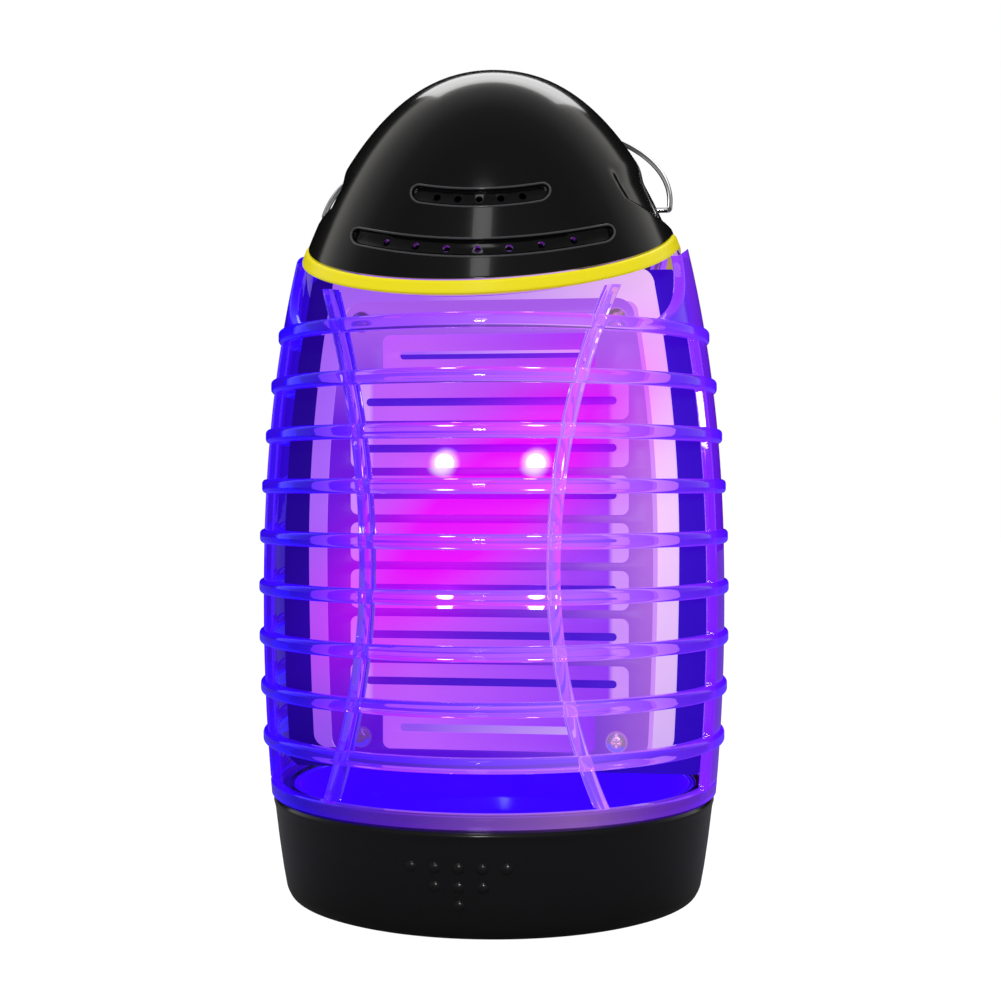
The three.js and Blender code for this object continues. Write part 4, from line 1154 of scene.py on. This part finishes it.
def lighter_top(material, tone):
    """Takes a lit material's painted glow towards a tone near the head, as painted light on its top."""
    tree = material.node_tree
    shader = tree.nodes["Principled BSDF"]
    place = add_node(tree, "ShaderNodeTexCoord")
    parts = add_node(tree, "ShaderNodeSeparateXYZ", {0: place.outputs["Object"]})
    top = add_node(tree, "ShaderNodeMapRange", {"Value": parts.outputs["Z"], "From Min": 0.128,
                                                "From Max": 0.156})
    below = shader.inputs["Emission Color"].links[0].from_socket
    tree.links.new(blended(tree, top.outputs[0], below, tone), shader.inputs["Emission Color"])
    return material


def lit_steel():
    """Sheet metal of the electrode grids in the violet light."""
    found = bpy.data.materials.get("grid_steel_in_violet_light")
    return found or lighter_top(lit_paint("grid_steel_in_violet_light", (0.15, 0.008, 0.72),
                                          (0.52, 0.18, 0.78), (0.60, 0.0, 0.88), 0.3, foot=0.7,
                                          bias=2.6), (0.44, 0.13, 0.90))


class OBJECT_OT_zapper_core(bpy.types.Operator):
    """White barrel-sided core housings and their slotted inner plates"""
    bl_idname = "object.zapper_core"
    bl_label = "Core and inner plates"

    def execute(self, context):
        core = context.scene.zapper_core
        white = lit_white(context.scene.zapper_colours)
        sheet = lit_sheet(context.scene.zapper_colours)
        screws = screw_places(core)
        leds = led_places(core)
        body = barrel_loop(lambda z: core_half_width(core, z), core.bottom_z, core.top_z, 4 * MM)
        pocket = barrel_loop(lambda z: core_half_width(core, z) - 8 * MM, core.bottom_z + 9 * MM,
                             core.plate_top_z - 11 * MM, 5 * MM)
        rim = flat_plate("core_rim", body, [pocket], 3.1 * MM, 6.3 * MM, 0.45 * MM)
        back = flat_plate("core_back", body, [], 1.3 * MM, 3.1 * MM, 0.1 * MM)
        posts = []
        for x, z in screws:
            outline = rounded([(0, 5.9 * MM), (3.3 * MM, 5.9 * MM), (3.3 * MM, 10.1 * MM),
                               (0, 10.1 * MM)], 0.3 * MM)
            post = turned("screw_post", outline, 32)
            post.transform(Matrix(((1, 0, 0, x), (0, 0, -1, 0), (0, 1, 0, z), (0, 0, 0, 1))))
            posts.append(post)
        housing = joined("core_front", [rim, back, *posts])
        slots = []
        for z in window_heights(core):
            half = core.short_half if beside_screws(core, z) else core.slot_half
            slots.append(round_corner_loop(half, z, core.bar_height, core.bar_height / 2 - 0.02 * MM))
        slots += [circle_loop(x, z, 2.5 * MM) for x, z in leds]
        slots += [circle_loop(x, z, 3.8 * MM) for x, z in screws]
        outline = barrel_loop(lambda z: core_half_width(core, z) - 5.5 * MM, core.bottom_z - 0.5 * MM,
                              core.plate_top_z - 1.5 * MM, 3 * MM)
        inner_plate = flat_plate("slot_plate_front", outline, slots, 6.6 * MM, 7.6 * MM, 0.18 * MM)
        for kind, mesh, nodes, finish in (("core_housing", housing, "core", white),
                                          ("slot_sheet", inner_plate, "slot_plate", sheet)):
            for face, copy in (("rear", rear_copy(mesh)), ("front", mesh)):
                made = smooth_object(f"{kind}_{face}", copy, [finish])
                made.data.set_sharp_from_angle(angle=math.radians(35))
                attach(made, GUARD_BODY)
                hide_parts(f"{nodes}_{face}")
        return {"FINISHED"}


def screw_places(core):
    """The grid screws' places, as (x, z)."""
    return [(x, z) for z in (core.screw_low_z, core.screw_high_z) for x in (-core.screw_x, core.screw_x)]


def led_places(core):
    """The lights' places, as (x, z)."""
    return [(x, z) for z in (core.led_low_z, core.led_high_z) for x in (-core.led_x, core.led_x)]


def window_heights(core):
    """Heights of the middles of the grid's windows."""
    return [core.lowest_bar_z + (i - 0.5) * core.bar_pitch for i in range(core.bar_count + 1)]


def beside_screws(core, z):
    """True for a window or slot that has to leave room for the screws."""
    return min(abs(z - core.screw_low_z), abs(z - core.screw_high_z)) < core.bar_pitch


class OBJECT_OT_zapper_grids(bpy.types.Operator):
    """Ladder-shaped electrode grids, front and rear"""
    bl_idname = "object.zapper_grids"
    bl_label = "Electrode grids"

    def execute(self, context):
        core = context.scene.zapper_core
        windows = []
        for z in window_heights(core):
            half = core.short_half + 4 * MM if beside_screws(core, z) else core.window_half
            windows.append(round_corner_loop(half, z, core.bar_pitch - core.bar_height, 2 * MM))
        outline = barrel_loop(lambda z: core_half_width(core, z) - 6.5 * MM, core.bottom_z - 1 * MM,
                              core.plate_top_z - 1 * MM, 5 * MM)
        holes = [circle_loop(x, z, 1.5 * MM, 16) for x, z in screw_places(core)]
        grid = flat_plate("grid_front", outline, windows + holes, 10.4 * MM, 11.4 * MM, 0.22 * MM)
        steel = lit_steel()
        for face, mesh in (("rear", rear_copy(grid)), ("front", grid)):
            made = smooth_object(f"electrode_grid_{face}", mesh, [steel])
            made.data.set_sharp_from_angle(angle=math.radians(35))
            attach(made, GUARD_BODY)
            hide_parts(f"grid_{face}")
        return {"FINISHED"}


def screw_head_mesh():
    """A pan head with a cross recess on a short shank, its axis along Z, head up."""
    profile = rounded([(0, 1.8 * MM), (1.6 * MM, 1.75 * MM), (2.6 * MM, 1.2 * MM),
                       (2.95 * MM, 0.2 * MM), (2.9 * MM, 0.0), (1.2 * MM, 0.0),
                       (1.2 * MM, -7 * MM), (0, -7 * MM)], 0.25 * MM, 4)
    head = bpy.data.objects.new("screw_pattern", turned("screw_pattern", profile, 40))
    bpy.context.scene.collection.objects.link(head)
    cutter = bmesh.new()
    for turn in (0, math.pi / 2):
        spin = Matrix.Rotation(turn, 4, "Z")
        made = bmesh.ops.create_cube(cutter, size=1.0)
        bmesh.ops.transform(cutter, matrix=spin @ Matrix.Translation((0, 0, 1.55 * MM))
                            @ Matrix.Diagonal((3.4 * MM, 0.62 * MM, 1.6 * MM, 1)), verts=made["verts"])
        bmesh.ops.scale(cutter, vec=(0.45, 0.8, 1), space=spin.inverted(),
                        verts=[v for v in made["verts"] if v.co.z < 1.5 * MM])
    mesh = bpy.data.meshes.new("cross_cutter")
    cutter.to_mesh(mesh)
    cutter.free()
    tool = bpy.data.objects.new("cross_cutter", mesh)
    bpy.context.scene.collection.objects.link(tool)
    cut = head.modifiers.new("recess", "BOOLEAN")
    cut.object = tool
    cut.solver = "EXACT"
    cut.use_self = True
    graph = bpy.context.evaluated_depsgraph_get()
    result = bpy.data.meshes.new_from_object(head.evaluated_get(graph))
    bpy.data.objects.remove(head)
    bpy.data.objects.remove(tool)
    return result


class OBJECT_OT_zapper_screws(bpy.types.Operator):
    """Cross-head screws that hold the electrode grids"""
    bl_idname = "object.zapper_screws"
    bl_label = "Grid screws"

    def execute(self, context):
        core = context.scene.zapper_core
        # The screws' plating is the metal; their pinkish colour and glow are painted light and painted
        # highlights.
        plated_with_painted_light = lit_paint("plated_screw_in_violet_light", (0.30, 0.10, 0.50), (0.75, 0.50, 0.62),
                           (0.5, 0.1, 0.6), 0.25, foot=0.95, diffuse=1.3, glow=0.35)
        plated_with_painted_light.node_tree.nodes["Principled BSDF"].inputs["Metallic"].default_value = 1.0
        for face, sign in (("front", 1), ("rear", -1)):
            places = [(sign * x, -sign * 11.7 * MM, z) for x, z in screw_places(core)]
            turn = Matrix.Rotation(sign * math.pi / 2, 3, "X").to_euler()
            mesh = scattered(f"grid_screws_{face}", places, screw_head_mesh(), turn, plated_with_painted_light)
            made = smooth_object(f"grid_screws_{face}", mesh, [plated_with_painted_light])
            made.data.set_sharp_from_angle(angle=math.radians(35))
            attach(made, GUARD_BODY)
            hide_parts(*[f"grid_screw_{face}_{i + 1}" for i in range(4)])
        return {"FINISHED"}


class OBJECT_OT_zapper_lights(bpy.types.Operator):
    """Violet lights on both faces of the core"""
    bl_idname = "object.zapper_lights"
    bl_label = "Violet lights"

    def execute(self, context):
        core = context.scene.zapper_core
        material, tree, shader = surface("violet_light_lens", 0.12, Emission_Strength=6.0)
        mask = with_grain(tree, shader, 0.12, 0.05, 400.0, 0.05)
        tree.links.new(blended(tree, mask, (0.9, 0.4, 1.0), (1.0, 0.75, 1.0)),
                       shader.inputs["Base Color"])
        tree.links.new(blended(tree, mask, (1.0, 0.45, 1.0), (1.0, 0.8, 1.0)),
                       shader.inputs["Emission Color"])
        profile = rounded([(0, 4.9 * MM), (1.2 * MM, 4.7 * MM), (2.0 * MM, 3.6 * MM),
                           (2.2 * MM, 2.2 * MM), (2.2 * MM, 0), (0, 0)], 0.6 * MM)
        for face, sign in (("front", 1), ("rear", -1)):
            places = [(sign * x, -sign * 4.9 * MM, z) for x, z in led_places(core)]
            turn = Matrix.Rotation(sign * math.pi / 2, 3, "X").to_euler()
            pattern = turned("light_pattern", profile, 40)
            mesh = scattered(f"lights_{face}", places, pattern, turn, material)
            made = smooth_object(f"lights_{face}", mesh, [material])
            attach(made, GUARD_BODY)
            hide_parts(*[f"led_{face}_{i + 1}" for i in range(4)])
        return {"FINISHED"}


# ------------------------------------------------------------------ base and tray

BASE_OUTSIDE = ((0, 0), (53.2, 0), (55.6, 0.9), (56.7, 3), (57.7, 8.5), (58.8, 16), (59.9, 25.0),
                (60.4, 26.6), (59.9, 27.7), (59.2, 28))


def base_inside(grow):
    """The base's inner wall in millimetres, set in by grow."""
    return [(55.2 - grow, 31), (55.2 - grow, 16), (53.9 - grow, 8), (52.6 - grow, 4 + grow),
            (51 - grow, 2.4 + grow), (0, 2.4 + grow)]


def in_metres(points):
    """Millimetre points in metres."""
    return [(r * MM, z * MM) for r, z in points]


class OBJECT_OT_zapper_base(bpy.types.Operator):
    """Black base shell with a triangle of raised dots"""
    bl_idname = "object.zapper_base"
    bl_label = "Base shell"

    def execute(self, context):
        wall = rounded(in_metres([*BASE_OUTSIDE, (57.8, 28), (57.8, 31), *base_inside(0)]), 0.8 * MM, 6)
        black = paint("base_satin_black", tuple(context.scene.zapper_colours.base_black), 0.24,
                      variation=0.05, scale=900.0, height=0.03, Coat_Weight=0.7, Coat_Roughness=0.10)
        shell = turned("base_shell", wall, 240)
        places = []
        for count, z in ((5, 18.7), (3, 14.0), (1, 9.3)):
            for i in range(count):
                x = (i - (count - 1) / 2) * 5.9
                radius = 57.7 + (z - 8.5) * 0.147
                places.append((x * MM, -math.sqrt(radius ** 2 - x ** 2) * MM, z * MM))
        button = turned("dot_pattern", in_metres([(0, 0.42), (0.9, 0.36), (1.25, 0.2), (1.5, -0.1),
                                                  (1.5, -0.8), (0, -0.8)]), 28)
        turn = Matrix.Rotation(math.pi / 2, 3, "X").to_euler()
        dots = scattered("base_dots", places, button, turn, black)
        made = smooth_object("base_bowl", joined("base_bowl", [shell, dots]), [black])
        made.data.set_sharp_from_angle(angle=math.radians(45))
        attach(made, "base")
        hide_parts("base_shell")
        return {"FINISHED"}


class OBJECT_OT_zapper_tray(bpy.types.Operator):
    """Glossy catch tray in the base, lit blue"""
    bl_idname = "object.zapper_tray"
    bl_label = "Catch tray"

    def execute(self, context):
        blue = tuple(context.scene.zapper_colours.tray_blue)
        # The tray's blue is painted violet light, set as its colour and as a glow.
        material, tree, shader = surface("tray_gloss_painted_violet_light", 0.12, Emission_Strength=0.75,
                                         Coat_Weight=0.4)
        mask = with_grain(tree, shader, 0.12, 0.08, 300.0, 0.05)
        tone = blended(tree, mask, tuple(0.82 * c for c in blue), blue)
        tree.links.new(tone, shader.inputs["Base Color"])
        tree.links.new(tone, shader.inputs["Emission Color"])
        outside = base_inside(0.35)[::-1]
        inside = base_inside(1.75)
        outside[-1] = (outside[-1][0], 30.6)
        inside[0] = (inside[0][0], 30.6)
        mesh = turned("tray_cup", rounded(in_metres([*outside, *inside]), 0.6 * MM), 200)
        made = smooth_object("tray_cup", mesh, [material])
        made.data.set_sharp_from_angle(angle=math.radians(45))
        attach(made, "base")
        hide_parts("catch_tray")
        return {"FINISHED"}


class OBJECT_OT_zapper_carried_parts(bpy.types.Operator):
    """Finishes for the frame's own parts: divider, head floor, boards, electronics and screws"""
    bl_idname = "object.zapper_carried_parts"
    bl_label = "Carried-over parts"

    def execute(self, context):
        colours = context.scene.zapper_colours
        night = tuple(colours.night_blue)
        # The divider and the light boards carry the violet light as painted colour and glow.
        dark = lit_paint("divider_black_in_violet_light", night, (0.040, 0.002, 0.55),
                         (0.05, 0.0, 0.6), 0.45, foot=0.7)
        dark.node_tree.nodes["Principled BSDF"].inputs["Specular IOR Level"].default_value = 0.1
        board_painted_violet_light = lit_paint("light_board_in_violet_light", (0.08, 0.008, 0.62), (0.10, 0.01, 0.70),
                                 (0.45, 0.0, 0.85), 0.4)
        finishes = {
            "divider": dark,
            "head_floor": paint("inlet_satin_black", tuple(colours.base_black), 0.42, height=0.2),
            "led_board_front": board_painted_violet_light,
            "led_board_rear": board_painted_violet_light,
            "hv_board": paint("circuit_board_green", (0.02, 0.12, 0.05), 0.45, scale=1500.0),
            "hv_transformer": paint("transformer_tape", (0.03, 0.022, 0.015), 0.5, scale=400.0,
                                    height=0.5),
            "hv_capacitor": paint("capacitor_brown", (0.32, 0.07, 0.02), 0.3),
            "head_screw_front": paint("screw_zinc", (0.5, 0.49, 0.52), 0.3, Metallic=1.0),
            "head_screw_rear": paint("screw_zinc", (0.5, 0.49, 0.52), 0.3, Metallic=1.0),
        }
        for node, material in finishes.items():
            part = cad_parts[node]
            part.data.materials.clear()
            part.data.materials.append(material)
        return {"FINISHED"}


# ------------------------------------------------------------------ stage

class OBJECT_OT_zapper_stage(bpy.types.Operator):
    """Pale floor, soft studio light and the camera"""
    bl_idname = "object.zapper_stage"
    bl_label = "Stage"

    def execute(self, context):
        scene = context.scene
        scene.view_settings.view_transform = "Standard"
        scene.view_settings.look = "None"
        floor = bpy.data.meshes.new("stage_floor")
        reach = 3.0
        corners = [(-reach, -reach, 0), (reach, -reach, 0), (reach, reach, 0), (-reach, reach, 0)]
        floor.from_pydata(corners, [], [(0, 1, 2, 3)])
        material, tree, shader = surface("stage_white", 0.9)
        shader.inputs["Base Color"].default_value = (0.10, 0.10, 0.10, 1)
        shader.inputs["Specular IOR Level"].default_value = 0.0
        shader.inputs["Emission Color"].default_value = (1, 1, 1, 1)
        path = tree.nodes.new("ShaderNodeLightPath")
        tree.links.new(path.outputs["Is Camera Ray"], shader.inputs["Emission Strength"])
        ground = smooth_object("stage_floor", floor, [material])
        ground.location.z = -0.0002
        self.sky(scene)
        self.softbox("top_rear", (-0.04, 0.46, 0.78), (0.6, 0.3), 1.3)
        self.softbox("front_high", (0.0, -0.75, 0.85), (0.16, 0.55), 0.45)
        self.softbox("front_low", (0.03, -0.95, 0.17), (0.09, 0.05), 0.5)
        self.camera(scene)
        return {"FINISHED"}

    @staticmethod
    def sky(scene):
        """White behind the object. Reflections see a dim room with a bright band at the sides,
        and matt surfaces see an even white one."""
        world = bpy.data.worlds.new("studio")
        scene.world = world
        world.use_nodes = True
        tree = world.node_tree
        place = add_node(tree, "ShaderNodeTexCoord")
        away = add_node(tree, "ShaderNodeVectorMath",
                        {0: place.outputs["Generated"], 1: (-0.1478, 0.9890, 0.0)},
                        operation="DOT_PRODUCT")
        share = add_node(tree, "ShaderNodeMapRange", {"Value": away.outputs["Value"], "From Min": -1.0})
        band = colour_run(tree, share.outputs[0], (
            (0.00, (0.14,) * 3), (0.35, (0.07,) * 3), (0.52, (0.10,) * 3), (0.68, (0.30, 0.295, 0.29)),
            (0.80, (0.58, 0.57, 0.54)), (0.828, (0.02,) * 3), (1.0, (0.0,) * 3)))
        path = add_node(tree, "ShaderNodeLightPath")
        through = blended(tree, path.outputs["Is Transmission Ray"], band, (0.05, 0.01, 0.30))
        matt = blended(tree, path.outputs["Is Diffuse Ray"], through, (0.80, 0.80, 0.82))
        seen = blended(tree, path.outputs["Is Camera Ray"], matt, (1.0, 1.0, 1.0))
        tree.links.new(seen, tree.nodes["Background"].inputs["Color"])

    @staticmethod
    def softbox(name, place, size, power):
        """An area light aimed at the middle of the object."""
        light = bpy.data.lights.new(name, "AREA")
        light.shape = "RECTANGLE"
        light.size, light.size_y = size
        light.energy = power
        lamp = bpy.data.objects.new(name, light)
        lamp.location = place
        lamp.rotation_mode = "QUATERNION"
        lamp.rotation_quaternion = (Vector((0, 0, 0.11)) - lamp.location).to_track_quat("-Z", "Y")
        bpy.context.scene.collection.objects.link(lamp)

    @staticmethod
    def camera(scene):
        """A level camera in front, a little to the object's left, at half its height."""
        distance, height, azimuth = 0.470, 0.1108, math.radians(8.5)
        data = bpy.data.cameras.new("camera")
        data.lens = 61.14
        data.sensor_width = 36
        data.shift_x = 0.0065
        data.shift_y = -0.0125
        data.clip_start = 0.01
        viewer = bpy.data.objects.new("camera", data)
        viewer.location = (distance * math.sin(azimuth), -distance * math.cos(azimuth), height)
        viewer.rotation_euler = (math.pi / 2, 0, azimuth)
        scene.collection.objects.link(viewer)
        scene.camera = viewer


# ------------------------------------------------------------------ panel and registration

class VIEW3D_PT_zapper(bpy.types.Panel):
    """Lists the pieces of the bug zapper and their sizes"""
    bl_idname = "VIEW3D_PT_zapper"
    bl_label = "Bug zapper"
    bl_space_type = "VIEW_3D"
    bl_region_type = "UI"
    bl_category = "Zapper"

    def draw(self, context):
        for operator in OPERATORS:
            self.layout.operator(operator.bl_idname)
        for name in GROUPS:
            box = self.layout.box()
            group = getattr(context.scene, name)
            for key in group.bl_rna.properties.keys():
                if key not in ("rna_type", "name"):
                    box.prop(group, key)


OPERATORS = (
    OBJECT_OT_zapper_stage,
    OBJECT_OT_zapper_head,
    OBJECT_OT_zapper_accent_ring,
    OBJECT_OT_zapper_bail,
    OBJECT_OT_zapper_controls,
    OBJECT_OT_zapper_guard,
    OBJECT_OT_zapper_core,
    OBJECT_OT_zapper_grids,
    OBJECT_OT_zapper_screws,
    OBJECT_OT_zapper_lights,
    OBJECT_OT_zapper_base,
    OBJECT_OT_zapper_tray,
    OBJECT_OT_zapper_carried_parts,
)
GROUPS = {
    "zapper_head": ZapperHeadSizes,
    "zapper_guard": ZapperGuardSizes,
    "zapper_core": ZapperCoreSizes,
    "zapper_colours": ZapperColours,
}


def register():
    """Registers the property groups, operators and panel."""
    for name, group in GROUPS.items():
        bpy.utils.register_class(group)
        setattr(bpy.types.Scene, name, PointerProperty(type=group))
    for operator in OPERATORS:
        bpy.utils.register_class(operator)
    bpy.utils.register_class(VIEW3D_PT_zapper)


def unregister():
    """Removes what register added."""
    bpy.utils.unregister_class(VIEW3D_PT_zapper)
    for operator in reversed(OPERATORS):
        bpy.utils.unregister_class(operator)
    for name, group in reversed(GROUPS.items()):
        delattr(bpy.types.Scene, name)
        bpy.utils.unregister_class(group)


def main():
    """Builds every piece in order."""
    register()
    for operator in OPERATORS:
        group, name = operator.bl_idname.split(".")
        getattr(getattr(bpy.ops, group), name)()
    bpy.context.view_layer.update()


if __name__ == "__main__":
    main()
